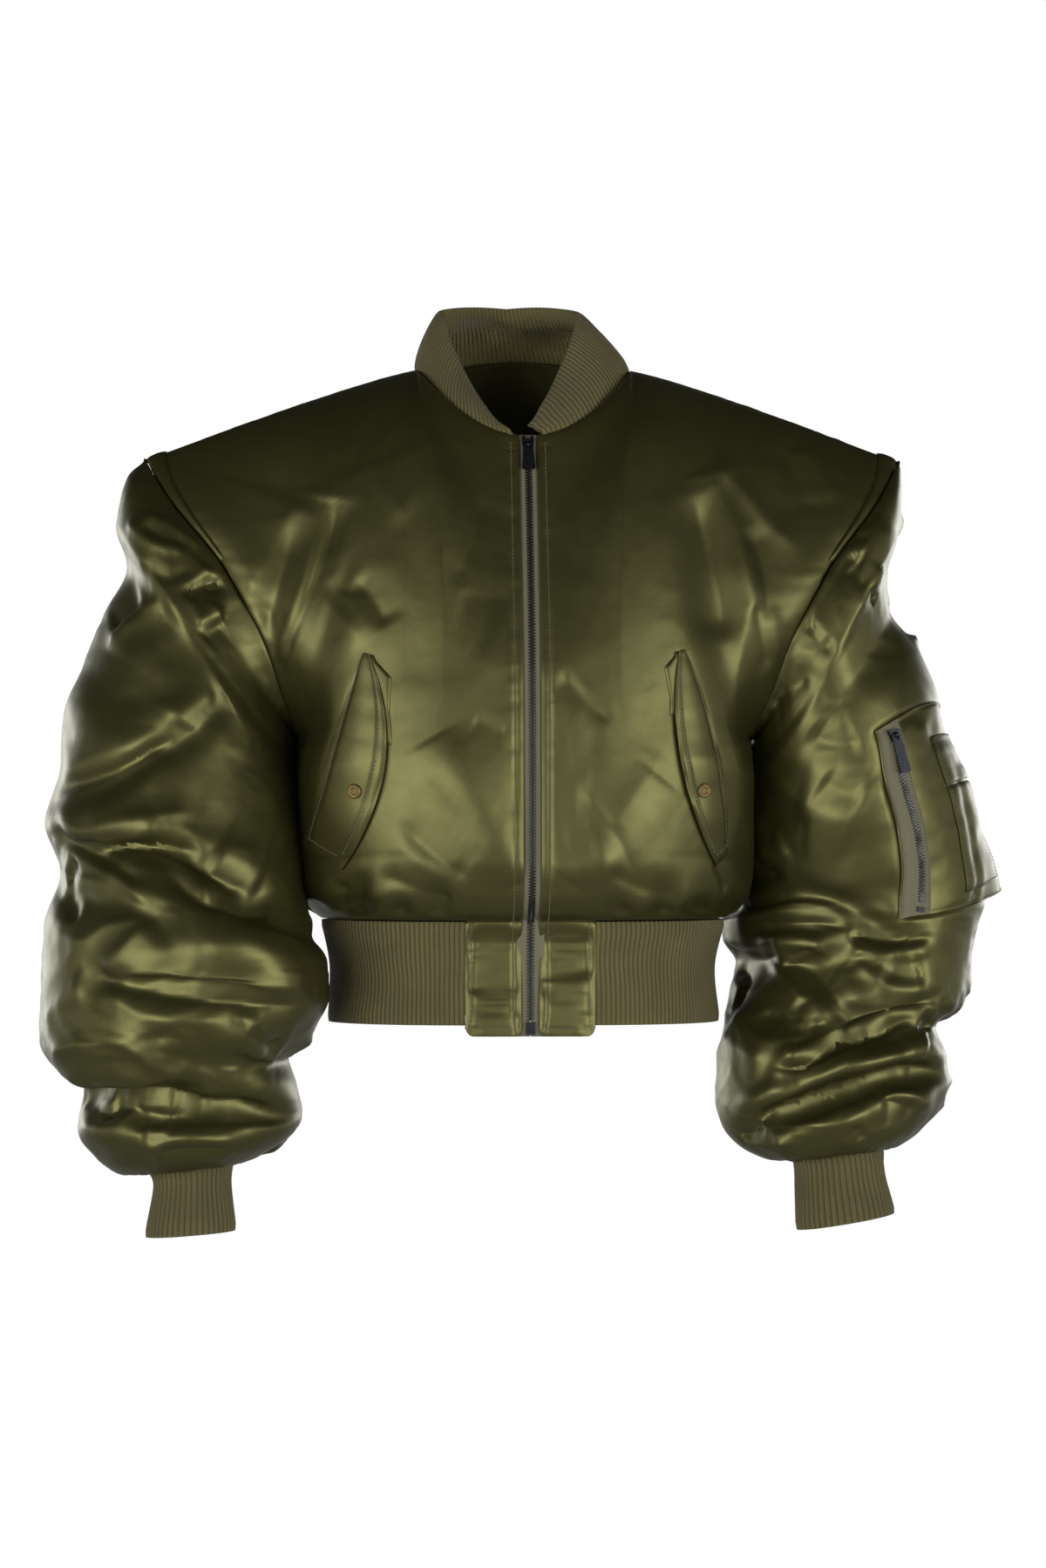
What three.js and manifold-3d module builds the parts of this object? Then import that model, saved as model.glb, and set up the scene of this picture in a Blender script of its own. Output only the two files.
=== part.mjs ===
// A cropped bomber jacket in padded satin with rib-knit collar, cuffs and hem, as it hangs when worn.
// Millimetres, +Z up. The front faces -Y and +X is the wearer's left. The origin is between the two
// neck points of the shoulder seams, where the wearer's shoulders carry the jacket.
import * as THREE from "three";
import { mergeVertices } from "three/addons/utils/BufferGeometryUtils.js";
import Module from "manifold-3d";

// Wall thicknesses and clearances.
const SATIN = 3;
const KNIT = 3.2;
const SEAM_GAP = 0.4;
const ARMHOLE_GAP = 0.8;
const COLLAR_GAP = 0.8;

// Main sizes of the cut, as worn.
const NECK = {
  half: 95,
  y: 8,
  frontReach: 88,
  backReach: 62,
  frontDrop: 62,
  backRise: 12,
  fade: 150,
  blend: 0.86,
};
const TIP = { x: 332, y: 5, z: -80 };
const SHOULDER_CURVE = 1.15;
const HEM_Z = -485;
const ARMPIT_Z = -328;
const ARMHOLE = { front: 88, back: 84, softFrom: 0.12, nearFrom: 0.7 };
const ZIP_HALF = 8;
const TAB = { edge: 68, drop: 99 };
const RIB_DROP = 89;
const COLLAR_SHIFT = -12;
const COLLAR_END = 13;
const RIB = { hem: 4.5, cuff: 4.9, collar: 4.4, height: 1.1 };

// Turn of each level from the centre line to its edge, in degrees, and how flat the front stays.
const TURN = { low: 88, high: 2, from: 0.3 };
const FLATNESS = 1.3;
const SHOULDER_START = 0.5;
const ROLL = { edge: 0.35, middlePower: 1.6, rimPower: 0.8 };
const PANEL_FADE = 0.12;
const SLEEVE_LEAD = { sections: 2, power: 0.6 };
const HALVINGS = 30;

// Torso levels: height of the outer edge, half width there, and how far front and back stand out.
const TORSO = [
  { z: -485, half: 180, front: 128, back: 116 },
  { z: -478, half: 191, front: 140, back: 127 },
  { z: -462, half: 201, front: 153, back: 139 },
  { z: -435, half: 204, front: 160, back: 143 },
  { z: -380, half: 203, front: 160, back: 138 },
  { z: -328, half: 203, front: 158, back: 134 },
  { z: -281, half: 217, front: 154, back: 134 },
  { z: -243, half: 230, front: 150, back: 136 },
  { z: -205, half: 249, front: 147, back: 137 },
  { z: -168, half: 270, front: 144, back: 136 },
  { z: -131, half: 300, front: 142, back: 134 },
  { z: -105, half: 319, front: 140, back: 132 },
  { z: -80, half: 332, front: 138, back: 130 },
];

// Hem band levels below the seam.
const HEM_BAND = [
  { drop: 0, half: 179, front: 127, back: 115 },
  { drop: 45, half: 170, front: 122, back: 110 },
  { drop: 89, half: 174, front: 124, back: 112 },
];

// Collar by degrees round the neck from the centre front: width of the band and its lean to the neck.
const COLLAR = [
  { turn: 0, width: 4, lean: 44 },
  { turn: 8, width: 10, lean: 44 },
  { turn: 20, width: 28, lean: 42 },
  { turn: 45, width: 47, lean: 39 },
  { turn: 90, width: 59, lean: 34 },
  { turn: 135, width: 53, lean: 20 },
  { turn: 180, width: 46, lean: 12 },
];

// Sleeve sections from armhole to cuff. Outer and inner side of each ring (x measured outward from
// the centre line), depth of the ring, its middle and the slew that sets its inner side back.
const RIGHT_SLEEVE = [
  { s: 0, outX: 332, outZ: -80, inX: 203, inZ: -328, depth: 88, y: 4, slew: 0 },
  { s: 1, outX: 358, outZ: -104, inX: 210, inZ: -334, depth: 97, y: 2, slew: 0 },
  { s: 2, outX: 358, outZ: -138, inX: 208, inZ: -350, depth: 102, y: 0, slew: -4 },
  { s: 3, outX: 348, outZ: -175, inX: 206, inZ: -368, depth: 104, y: 0, slew: -12 },
  { s: 4, outX: 369, outZ: -218, inX: 205, inZ: -386, depth: 108, y: -2, slew: -18 },
  { s: 5, outX: 387, outZ: -262, inX: 204, inZ: -405, depth: 112, y: -4, slew: -22 },
  { s: 6, outX: 404, outZ: -305, inX: 203.5, inZ: -424, depth: 114, y: -8, slew: -26 },
  { s: 7, outX: 407, outZ: -351, inX: 203, inZ: -446, depth: 114, y: -14, slew: -28 },
  { s: 8, outX: 419, outZ: -400, inX: 201, inZ: -473, depth: 113, y: -24, slew: -30 },
  { s: 9, outX: 404, outZ: -445, inX: 192, inZ: -496, depth: 108, y: -36, slew: -30 },
  { s: 10, outX: 420, outZ: -489, inX: 176, inZ: -520, depth: 114, y: -46, slew: -34 },
  { s: 11, outX: 422, outZ: -535, inX: 172, inZ: -547, depth: 116, y: -52, slew: -34 },
  { s: 12, outX: 423, outZ: -592, inX: 190, inZ: -580, depth: 112, y: -54, slew: -26 },
  { s: 13, outX: 410, outZ: -616, inX: 213, inZ: -604, depth: 102, y: -54, slew: -16 },
  { s: 14, outX: 386, outZ: -631, inX: 201, inZ: -627, depth: 96, y: -54, slew: -8 },
  { s: 15, outX: 388, outZ: -665, inX: 194, inZ: -656, depth: 98, y: -54, slew: 0 },
  { s: 16, outX: 374, outZ: -692, inX: 215, inZ: -679, depth: 84, y: -54, slew: 0 },
  { s: 17, outX: 351, outZ: -706, inX: 243, inZ: -694, depth: 56, y: -54, slew: 0 },
  { s: 18, outX: 331, outZ: -699, inX: 254, inZ: -690, depth: 37, y: -54, slew: 0 },
];
const LEFT_SLEEVE = [
  { s: 0, outX: 332, outZ: -80, inX: 203, inZ: -328, depth: 88, y: 4, slew: 0 },
  { s: 1, outX: 335, outZ: -104, inX: 210, inZ: -337, depth: 95, y: 4, slew: 2 },
  { s: 2, outX: 333, outZ: -136, inX: 208, inZ: -354, depth: 98, y: 4, slew: 6 },
  { s: 3, outX: 322, outZ: -178, inX: 206, inZ: -370, depth: 98, y: 4, slew: 12 },
  { s: 4, outX: 325, outZ: -212, inX: 205, inZ: -385, depth: 98, y: 4, slew: 18 },
  { s: 5, outX: 350, outZ: -247, inX: 204, inZ: -401, depth: 102, y: 4, slew: 22 },
  { s: 6, outX: 365, outZ: -285, inX: 203.5, inZ: -416, depth: 105, y: 4, slew: 26 },
  { s: 7, outX: 374, outZ: -328, inX: 203, inZ: -432, depth: 107, y: 6, slew: 28 },
  { s: 8, outX: 391, outZ: -370, inX: 201, inZ: -455, depth: 108, y: 10, slew: 34 },
  { s: 9, outX: 403, outZ: -414, inX: 196, inZ: -478, depth: 108, y: 14, slew: 42 },
  { s: 10, outX: 411, outZ: -462, inX: 180, inZ: -488, depth: 108, y: 16, slew: 52 },
  { s: 11, outX: 403, outZ: -497, inX: 183, inZ: -505, depth: 105, y: 14, slew: 52 },
  { s: 12, outX: 396, outZ: -528, inX: 196, inZ: -526, depth: 98, y: 10, slew: 46 },
  { s: 13, outX: 388, outZ: -560, inX: 188, inZ: -550, depth: 102, y: 4, slew: 40 },
  { s: 14, outX: 366, outZ: -581, inX: 180, inZ: -576, depth: 98, y: -2, slew: 32 },
  { s: 15, outX: 375, outZ: -606, inX: 173, inZ: -609, depth: 102, y: -8, slew: 22 },
  { s: 16, outX: 377, outZ: -626, inX: 172, inZ: -643, depth: 100, y: -12, slew: 14 },
  { s: 17, outX: 364, outZ: -655, inX: 179, inZ: -672, depth: 90, y: -16, slew: 8 },
  { s: 18, outX: 344, outZ: -676, inX: 199, inZ: -690, depth: 74, y: -20, slew: 4 },
  { s: 19, outX: 326, outZ: -686, inX: 219, inZ: -696, depth: 54, y: -22, slew: 0 },
  { s: 20, outX: 316, outZ: -686, inX: 236, inZ: -692, depth: 37, y: -22, slew: 0 },
];

// Cuff levels from the seam to the open end: outer and inner side as on the sleeves.
const RIGHT_CUFF = [
  { s: 0, outX: 331, outZ: -699, inX: 254, inZ: -690, depth: 37, y: -54 },
  { s: 1, outX: 326, outZ: -716, inX: 258, inZ: -712, depth: 33, y: -55 },
  { s: 2, outX: 333, outZ: -760, inX: 253, inZ: -754, depth: 37, y: -60 },
];
const LEFT_CUFF = [
  { s: 0, outX: 316, outZ: -686, inX: 236, inZ: -692, depth: 37, y: -22 },
  { s: 1, outX: 318, outZ: -706, inX: 239, inZ: -712, depth: 35, y: -23 },
  { s: 2, outX: 327, outZ: -743, inX: 239, inZ: -758, depth: 40, y: -28 },
];

// Large folds, each a bowed line on the front or back as seen from the front (x, z at both ends), with
// its reach to either side, its depth (negative for a trough) and its roll (one side raised).
const RIGHT_SLEEVE_FOLDS = [
  { face: -1, x1: -432, z1: -384, x2: -262, z2: -290, bow: -10, reach: 16, depth: -9, roll: 6 },
  { face: -1, x1: -432, z1: -412, x2: -225, z2: -470, bow: 22, reach: 15, depth: -10, roll: 7 },
  { face: -1, x1: -415, z1: -440, x2: -180, z2: -560, bow: 30, reach: 18, depth: 8, roll: -6 },
  { face: -1, x1: -385, z1: -528, x2: -172, z2: -545, bow: 10, reach: 16, depth: -10, roll: 7 },
  { face: -1, x1: -425, z1: -625, x2: -190, z2: -652, bow: -8, reach: 14, depth: -13, roll: 8 },
  { face: 1, x1: -425, z1: -420, x2: -220, z2: -450, bow: 18, reach: 16, depth: -10, roll: 6 },
  { face: 1, x1: -425, z1: -530, x2: -190, z2: -520, bow: -14, reach: 16, depth: -10, roll: 6 },
  { face: 1, x1: -420, z1: -620, x2: -195, z2: -645, bow: 10, reach: 14, depth: -12, roll: 7 },
];
const LEFT_SLEEVE_FOLDS = [
  { face: -1, x1: 196, z1: -452, x2: 330, z2: -505, bow: 14, reach: 13, depth: -8, roll: 5 },
  { face: -1, x1: 240, z1: -520, x2: 285, z2: -590, bow: 6, reach: 12, depth: -7, roll: 0 },
  { face: -1, x1: 230, z1: -600, x2: 372, z2: -560, bow: 10, reach: 13, depth: -12, roll: -8 },
  { face: -1, x1: 205, z1: -668, x2: 384, z2: -622, bow: 16, reach: 13, depth: -11, roll: -7 },
  { face: 1, x1: 190, z1: -500, x2: 400, z2: -470, bow: -12, reach: 14, depth: -9, roll: 6 },
  { face: 1, x1: 185, z1: -585, x2: 380, z2: -575, bow: 10, reach: 14, depth: -11, roll: 7 },
  { face: 1, x1: 190, z1: -655, x2: 375, z2: -640, bow: 8, reach: 13, depth: -10, roll: 6 },
];
const RIGHT_FRONT_FOLDS = [
  { face: -1, x1: -172, z1: -118, x2: -205, z2: -332, bow: 14, reach: 27, depth: -8.5, roll: 5 },
  { face: -1, x1: -92, z1: -330, x2: -20, z2: -455, bow: 8, reach: 24, depth: 5, roll: 3 },
];
const LEFT_FRONT_FOLDS = [
  { face: -1, x1: 150, z1: -100, x2: 196, z2: -330, bow: -16, reach: 26, depth: -9, roll: -5 },
  { face: -1, x1: 110, z1: -360, x2: 40, z2: -455, bow: 6, reach: 26, depth: 5, roll: 0 },
];
const BACK_FOLDS = [
  { face: 1, x1: -160, z1: -110, x2: -200, z2: -330, bow: 14, reach: 28, depth: -10, roll: 5 },
  { face: 1, x1: 160, z1: -110, x2: 200, z2: -330, bow: -14, reach: 28, depth: -10, roll: -5 },
  { face: 1, x1: -120, z1: -300, x2: 130, z2: -340, bow: -18, reach: 26, depth: 6, roll: 3 },
];

// Gathers where the satin is eased into the hem band: troughs by place round the body, with their
// height, width and depth.
const GATHERS = [
  { face: -1, x: -186, height: 34, reach: 13, depth: 5 },
  { face: -1, x: -150, height: 48, reach: 12, depth: 7 },
  { face: -1, x: -112, height: 30, reach: 12, depth: 5 },
  { face: -1, x: -80, height: 40, reach: 11, depth: 5 },
  { face: -1, x: 78, height: 36, reach: 12, depth: 5 },
  { face: -1, x: 116, height: 44, reach: 12, depth: 6 },
  { face: -1, x: 152, height: 30, reach: 12, depth: 5 },
  { face: -1, x: 184, height: 40, reach: 13, depth: 5 },
  { face: 1, x: -176, height: 38, reach: 13, depth: 6 },
  { face: 1, x: -132, height: 46, reach: 14, depth: 6 },
  { face: 1, x: -84, height: 34, reach: 13, depth: 5 },
  { face: 1, x: -36, height: 44, reach: 14, depth: 6 },
  { face: 1, x: 14, height: 36, reach: 13, depth: 5 },
  { face: 1, x: 62, height: 46, reach: 14, depth: 6 },
  { face: 1, x: 112, height: 36, reach: 13, depth: 5 },
  { face: 1, x: 160, height: 42, reach: 13, depth: 6 },
];
const GATHER_START = 8;

// Pocket flaps in the front view, x outward: both ends of the sewn edge and of the free edge, and how
// far each edge bows. The welt is the corner of facing that shows beside the top of the free edge.
const RIGHT_FLAP = {
  sewn: { x1: 145, z1: -253, x2: 193, z2: -418, bow: 3 },
  free: { x1: 139, z1: -255, x2: 161, z2: -440, bow: -25 },
  welt: { x: 121, z: -268, end: 0.42 },
};
const LEFT_FLAP = {
  sewn: { x1: 132, z1: -250, x2: 170, z2: -425, bow: 10 },
  free: { x1: 126, z1: -252, x2: 160, z2: -437, bow: -17 },
  welt: { x: 114, z: -262, end: 0.3 },
};
const FLAP = { lift: 1.3, thickness: 2.4, puff: 2.5, standOff: 3, columns: 4, rows: 14 };
const WELT = { lift: 0.8, thickness: 1.4, gap: 0.6, least: 3, peak: 0.25, rows: 8 };
const SNAP = { along: 0.66, across: 0.62, lift: 0.5, sides: 14 };
const SNAP_PROFILE = [
  { r: 0, h: 0 },
  { r: 6.6, h: 0 },
  { r: 6.6, h: 1 },
  { r: 5.5, h: 1.8 },
  { r: 3.2, h: 1.7 },
  { r: 2.6, h: 1 },
  { r: 0, h: 1 },
];

// Raised tuck along the top of each armhole: width at the shoulder and at its lower end.
const TUCK = { top: 18, end: 5, inset: 0.8, endAngle: 75, step: 15, thickness: 2, lift: 1.02 };

// Patch pocket on the left sleeve, by section number and degrees round the sleeve at its corners.
const SLEEVE_MIDDLE_X = 300;
const POCKET = {
  top: { s1: 5.55, s2: 6.45 },
  bottom: { s1: 10.45, s2: 10.0 },
  phi: { front: 75, back: -15 },
  rows: 12,
  lift: 0.9,
  thickness: 2,
  puff: 3,
  corner: { height: 19, a: 0.6, b: 0.55 },
};
const PEN = { a: [2.4, 3, 4, 5], b1: 2, b2: 11, split: 5, seam: 0.07, thickness: 1.8, lift: 0.5 };
const SLEEVE_ZIP = {
  tape: { front: 0.06, back: 0.99 },
  chain: { top: 0.6, bottom: 0.68, half: 0.1, from: 1.35, to: 11.15 },
  slider: 0.9,
  stop: 11.46,
};
const SLEEVE_TAPE = { lift: 0.5, thick: 0.8 };
const SLEEVE_CHAIN = { lift: 1.7, thick: 1.8 };

// Zips: chain width and thickness, tape, slider, bail and pull.
const ZIP = { chain: 5.8, front: 0.6, back: 3, tape: 12, split: 0.2, tapeFront: 3.3, tapeBack: 4.3 };
const ZIP_LEVEL = { box: -0.93, chain: -0.87, chainEnd: 0.957, slider: 0.975, stop: 0.994 };
const SLIDER = { top: 11, bottom: 8, height: 13, back: 2.8, front: 1.6 };
const SLEEVE_SLIDER = { top: 9.5, bottom: 7, height: 10.5, back: -1.7, front: 5.4 };
const BAIL = { inner: 1.35, outer: 2.5, half: 1.3, axis: 1.5, sink: 0.5, sides: 5 };
const PULL = { thick: 1.4, bar: 0.7, window: 4.4, windowHalf: 2.2, corner: 2.5 };
const FRONT_PULL = { top: 8.5, bottom: 11.5, length: 24 };
const SLEEVE_PULL = { top: 7.5, bottom: 10, length: 34 };
const STOP = { x: 3.6, width: 3, height: 2.6, back: 2.9, front: 0.2 };
const BOX = { width: 8, height: 11, back: 2.9, front: 0.5 };
const SLEEVE_STOP = { width: 6.5, height: 4.5, back: -1.7, front: 3.6 };

const lerp = (a, b, t) => a + (b - a) * t;
const clamp01 = (t) => Math.min(1, Math.max(0, t));
const smooth = (t) => clamp01(t) ** 2 * (3 - 2 * clamp01(t));
const radians = THREE.MathUtils.degToRad;
const range = (n) => Array.from({ length: n }, (_, i) => i);
const steps = (a, b, n) => range(n + 1).map((i) => lerp(a, b, i / n));

// Reads a table at any value of its key column, with a smooth curve that never overshoots a row.
function reader(rows, key) {
  const at = rows.map((r) => r[key]);
  const names = Object.keys(rows[0]).filter((n) => n !== key);
  const slopes = {};
  for (const name of names) {
    const rise = range(rows.length - 1).map(
      (i) => (rows[i + 1][name] - rows[i][name]) / (at[i + 1] - at[i]),
    );
    slopes[name] = rows.map((_, i) => {
      if (i === 0) return rise[0];
      if (i === rows.length - 1) return rise[i - 1];
      return rise[i - 1] * rise[i] > 0
        ? (2 * rise[i - 1] * rise[i]) / (rise[i - 1] + rise[i])
        : 0;
    });
  }
  return (value) => {
    let i = at.findIndex((a) => a > value) - 1;
    if (i === -2) i = at.length - 2;
    i = Math.max(0, i);
    const h = at[i + 1] - at[i];
    const t = clamp01((value - at[i]) / h);
    const row = {};
    for (const name of names)
      row[name] =
        (2 * t ** 3 - 3 * t ** 2 + 1) * rows[i][name] +
        (t ** 3 - 2 * t ** 2 + t) * h * slopes[name][i] +
        (3 * t ** 2 - 2 * t ** 3) * rows[i + 1][name] +
        (t ** 3 - t ** 2) * h * slopes[name][i + 1];
    return row;
  };
}
const torsoAt = reader(TORSO, "z");
const hemAt = reader(HEM_BAND, "drop");
const collarAt = reader(COLLAR, "turn");

// Height of the folds over a point, as the front view sees it.
function foldHeight(folds, p, face) {
  let height = 0;
  for (const f of folds) {
    if (f.face !== face) continue;
    const dx = f.x2 - f.x1;
    const dz = f.z2 - f.z1;
    const length = Math.hypot(dx, dz);
    const t = ((p.x - f.x1) * dx + (p.z - f.z1) * dz) / length ** 2;
    if (t <= 0 || t >= 1) continue;
    const taper = Math.sqrt(4 * t * (1 - t));
    const off = ((p.z - f.z1) * dx - (p.x - f.x1) * dz) / length - f.bow * 4 * t * (1 - t);
    const q = off / f.reach;
    height += taper * (f.depth + f.roll * q) * Math.exp(-q * q);
  }
  return height;
}

// Height of the gathers over a point: troughs that open from just above the hem seam.
function gatherHeight(p, face) {
  const up = p.z - HEM_Z;
  return -GATHERS.filter((g) => g.face === face && up < g.height).reduce(
    (sum, g) =>
      sum +
      g.depth *
        Math.exp(-(((p.x - g.x) / g.reach) ** 2)) *
        smooth(up / GATHER_START) *
        smooth((g.height - up) / (g.height - GATHER_START)),
    0,
  );
}

// Normal of a surface given as a function of two parameters, by small differences.
function normalOf(surface, a, b, size) {
  const step = 1e-3;
  const du = surface(a + step * size.a, b).sub(surface(a - step * size.a, b));
  const dv = surface(a, b + step * size.b).sub(surface(a, b - step * size.b));
  return du.cross(dv).normalize();
}

// Neckline and shoulder seam over x, for the front (-1) or the back (+1).
function topEdge(face, x) {
  if (x < NECK.half) {
    const k = 1 - (x / NECK.half) ** 2;
    return face < 0
      ? { y: NECK.y - NECK.frontReach * Math.sqrt(k), z: -NECK.frontDrop * k }
      : { y: NECK.y + NECK.backReach * Math.sqrt(k), z: NECK.backRise * k };
  }
  const r = Math.min(1, (x - NECK.half) / (TIP.x - NECK.half));
  return { y: lerp(NECK.y, TIP.y, r), z: TIP.z * r ** SHOULDER_CURVE };
}

// One half of the torso, x positive. u runs from the centre line (0) to the side seam and armhole
// (1), v from the hem seam (0) to the neckline and shoulder seam (1).
function torso(face, u, v) {
  const inner = face < 0 ? ZIP_HALF : 0;
  const top = topEdge(face, lerp(inner, TIP.x, u));
  const level = torsoAt(lerp(HEM_Z, TIP.z, v));
  const turn = radians(
    v < TURN.from ? TURN.low : lerp(TURN.low, TURN.high, (v - TURN.from) / (1 - TURN.from)),
  );
  const x = inner + ((level.half - inner) * Math.sin(turn * u)) / Math.sin(turn);
  const w = clamp01((lerp(HEM_Z, TIP.z, v) - ARMPIT_Z) / (TIP.z - ARMPIT_Z));
  const soft = clamp01((v - ARMHOLE.softFrom) / (1 - ARMHOLE.softFrom));
  const near = smooth((u - ARMHOLE.nearFrom) / (1 - ARMHOLE.nearFrom));
  const rim = lerp(Math.sin(Math.PI * soft ** ROLL.rimPower), Math.sqrt(4 * w * (1 - w)), near);
  const edgeY = face * (face < 0 ? ARMHOLE.front : ARMHOLE.back) * rim;
  const middleY = face * (face < 0 ? level.front : level.back);
  const round = ((1 - Math.cos(turn * u)) / (1 - Math.cos(turn))) ** FLATNESS;
  const full = lerp(middleY, edgeY, round);
  const p = clamp01((v - SHOULDER_START) / (1 - SHOULDER_START));
  const rolled = Math.sqrt(Math.max(0, 1 - p * p));
  const reach = lerp(1 - p ** ROLL.middlePower, rolled, smooth(u / ROLL.edge));
  const depth = face * (face < 0 ? NECK.frontReach : NECK.backReach);
  const even = NECK.y + depth * (1 - smooth(x / NECK.fade));
  const topY = lerp(even, top.y, smooth((v - NECK.blend) / (1 - NECK.blend)));
  return new THREE.Vector3(x, lerp(topY, full, reach), lerp(HEM_Z, top.z, v));
}

// Point on a front at x and z of the front view.
function frontAt(x, z) {
  let low = 0;
  let high = 1;
  let v = 0;
  for (let i = 0; i < HALVINGS; i++) {
    const u = (low + high) / 2;
    v = clamp01((z - HEM_Z) / (topEdge(-1, lerp(ZIP_HALF, TIP.x, u)).z - HEM_Z));
    if (torso(-1, u, v).x < x) low = u;
    else high = u;
  }
  return { u: (low + high) / 2, v };
}

// Ring of a sleeve or cuff, x positive outward. phi is 0 at the outer side, 90 at the front, 180 inside.
function ring(row, phi) {
  const c = Math.cos(radians(phi));
  const across = (1 - c) / 2;
  return new THREE.Vector3(
    lerp(row.outX, row.inX, across),
    row.y + (row.slew || 0) * across - row.depth * Math.sin(radians(phi)),
    lerp(row.outZ, row.inZ, across),
  );
}

// Edge of the armhole at the same angle as the sleeve's rings.
const RIM_SOFT = 0.01;
const NORMAL_RANGE = { edge: 0.005, low: 0.002, high: 0.985, tab: -0.5 };
const AT_EDGE = 0.999;
const TINY = 1e-6;
const SIDEWAYS = 0.05;
const SHOULDER_FROM = 0.2;
const onSide = (u, v) => u > AT_EDGE && v <= ARMPIT_V + TINY;
const onArmhole = (u, v) => u > AT_EDGE && v > ARMPIT_V - TINY;
const ARMPIT_V = (ARMPIT_Z - HEM_Z) / (TIP.z - HEM_Z);
const armholeLevel = (phi) => lerp(ARMPIT_V, 1, (1 + Math.cos(radians(phi))) / 2);
const armholeFace = (phi) => (Math.sin(radians(phi)) >= 0 ? -1 : 1);
const armhole = (phi) => torso(armholeFace(phi), 1, armholeLevel(phi));

// Sleeve surface: section number s and angle phi, with the first rings led out of the armhole.
function sleeveSurface(rows, side, folds) {
  const at = reader(rows, "s");
  const last = rows[rows.length - 1].s;
  const plain = (s, phi) => {
    const free = ring(at(s), phi);
    const led = (s / SLEEVE_LEAD.sections) ** SLEEVE_LEAD.power;
    const p = s < SLEEVE_LEAD.sections ? armhole(phi).lerp(free, led) : free;
    p.x *= side;
    return p;
  };
  return (s, phi) => {
    const p = plain(s, phi);
    const n = sleeveNormal(plain, s, phi, side);
    const facing = Math.abs(Math.sin(radians(phi))) ** 0.5;
    const { sections } = SLEEVE_LEAD;
    const fade = smooth(s / sections) * smooth((last - s) / sections);
    const face = Math.sin(radians(phi)) >= 0 ? -1 : 1;
    return p.addScaledVector(n, foldHeight(folds, p, face) * facing * fade);
  };
}
function sleeveNormal(surface, s, phi, side) {
  return normalOf(surface, Math.max(0.01, s), phi, { a: 1, b: 60 }).multiplyScalar(-side);
}

// Closed wall from a grid of outer points and the matching inner points. rows[j][i] is a point or, where
// the piece is cut away, null. Each innerStep-th column is used inside. round joins the last column
// to the first.
function wall(outer, inner, { round = false, innerStep = 1 } = {}) {
  const points = [];
  const triangles = [];
  const put = (p) => points.push(p.x, p.y, p.z) / 3 - 1;
  const nCols = outer[0].length;
  const nRows = outer.length;
  const wrap = (i) => (round ? i % nCols : i);
  const kept = range(nCols).filter((i) => i % innerStep === 0 || (!round && i === nCols - 1));
  const out = outer.map((row) => row.map((p) => (p ? put(p) : -1)));
  const inn = inner.map((row) => row.map((p, i) => (p && kept.includes(i) ? put(p) : -1)));
  const spans = kept
    .map((a, k) => [a, k + 1 < kept.length ? kept[k + 1] : round ? nCols : -1])
    .filter((span) => span[1] > 0);
  const cell = (j, a, b) =>
    outer[j][a] && outer[j][wrap(b)] && outer[j + 1]?.[a] && outer[j + 1]?.[wrap(b)];
  const quad = (a, b, c, d) => triangles.push(a, b, c, a, c, d);
  for (let j = 0; j < nRows - 1; j++)
    for (const [a, b] of spans)
      if (cell(j, a, b)) quad(inn[j][a], inn[j + 1][a], inn[j + 1][wrap(b)], inn[j][wrap(b)]);
  for (let j = 0; j < nRows - 1; j++)
    for (let i = 0; i < (round ? nCols : nCols - 1); i++)
      if (cell(j, i, i + 1))
        quad(out[j][i], out[j][wrap(i + 1)], out[j + 1][wrap(i + 1)], out[j + 1][i]);
  const has = (j, i) =>
    j >= 0 && j < nRows - 1 && i >= 0 && i < nCols - 1 && Boolean(cell(j, i, i + 1));
  for (let j = 0; j < nRows; j++)
    for (const [a, b] of spans) {
      const above = round ? j < nRows - 1 : has(j, a);
      const below = round ? j > 0 : has(j - 1, a);
      if (above === below) continue;
      const row = range(b - a + 1).map((k) => out[j][wrap(a + k)]);
      const ends = [inn[j][a], inn[j][wrap(b)]];
      const half = Math.floor(row.length / 2);
      for (let k = 0; k + 1 < row.length; k++) {
        const base = k < half ? ends[0] : ends[1];
        if (above) triangles.push(row[k + 1], row[k], base);
        else triangles.push(row[k], row[k + 1], base);
      }
      if (above) triangles.push(row[half], ends[0], ends[1]);
      else triangles.push(row[half], ends[1], ends[0]);
    }
  if (!round)
    for (let j = 0; j < nRows - 1; j++)
      for (let i = 0; i < nCols; i++) {
        const right = has(j, i);
        const left = has(j, i - 1);
        if (right === left) continue;
        if (right) quad(out[j][i], out[j + 1][i], inn[j + 1][i], inn[j][i]);
        else quad(out[j + 1][i], out[j][i], inn[j][i], inn[j + 1][i]);
      }
  const geometry = new THREE.BufferGeometry();
  geometry.setAttribute("position", new THREE.Float32BufferAttribute(points, 3));
  geometry.setIndex(triangles);
  geometry.computeVertexNormals();
  return geometry;
}

// Builds a wall and turns it inside out if its grid runs the other way round.
function closedWall(outer, inner, options) {
  const geometry = wall(outer, inner, options);
  const p = geometry.attributes.position;
  const [a, b, c] = range(3).map(() => new THREE.Vector3());
  let volume = 0;
  for (let i = 0; i < geometry.index.count; i += 3) {
    [a, b, c].forEach((q, k) => q.fromBufferAttribute(p, geometry.index.getX(i + k)));
    volume += a.dot(b.cross(c));
  }
  if (volume < 0) {
    const index = geometry.index.array;
    for (let i = 0; i < index.length; i += 3)
      [index[i + 1], index[i + 2]] = [index[i + 2], index[i + 1]];
  }
  geometry.computeVertexNormals();
  return geometry;
}

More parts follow.
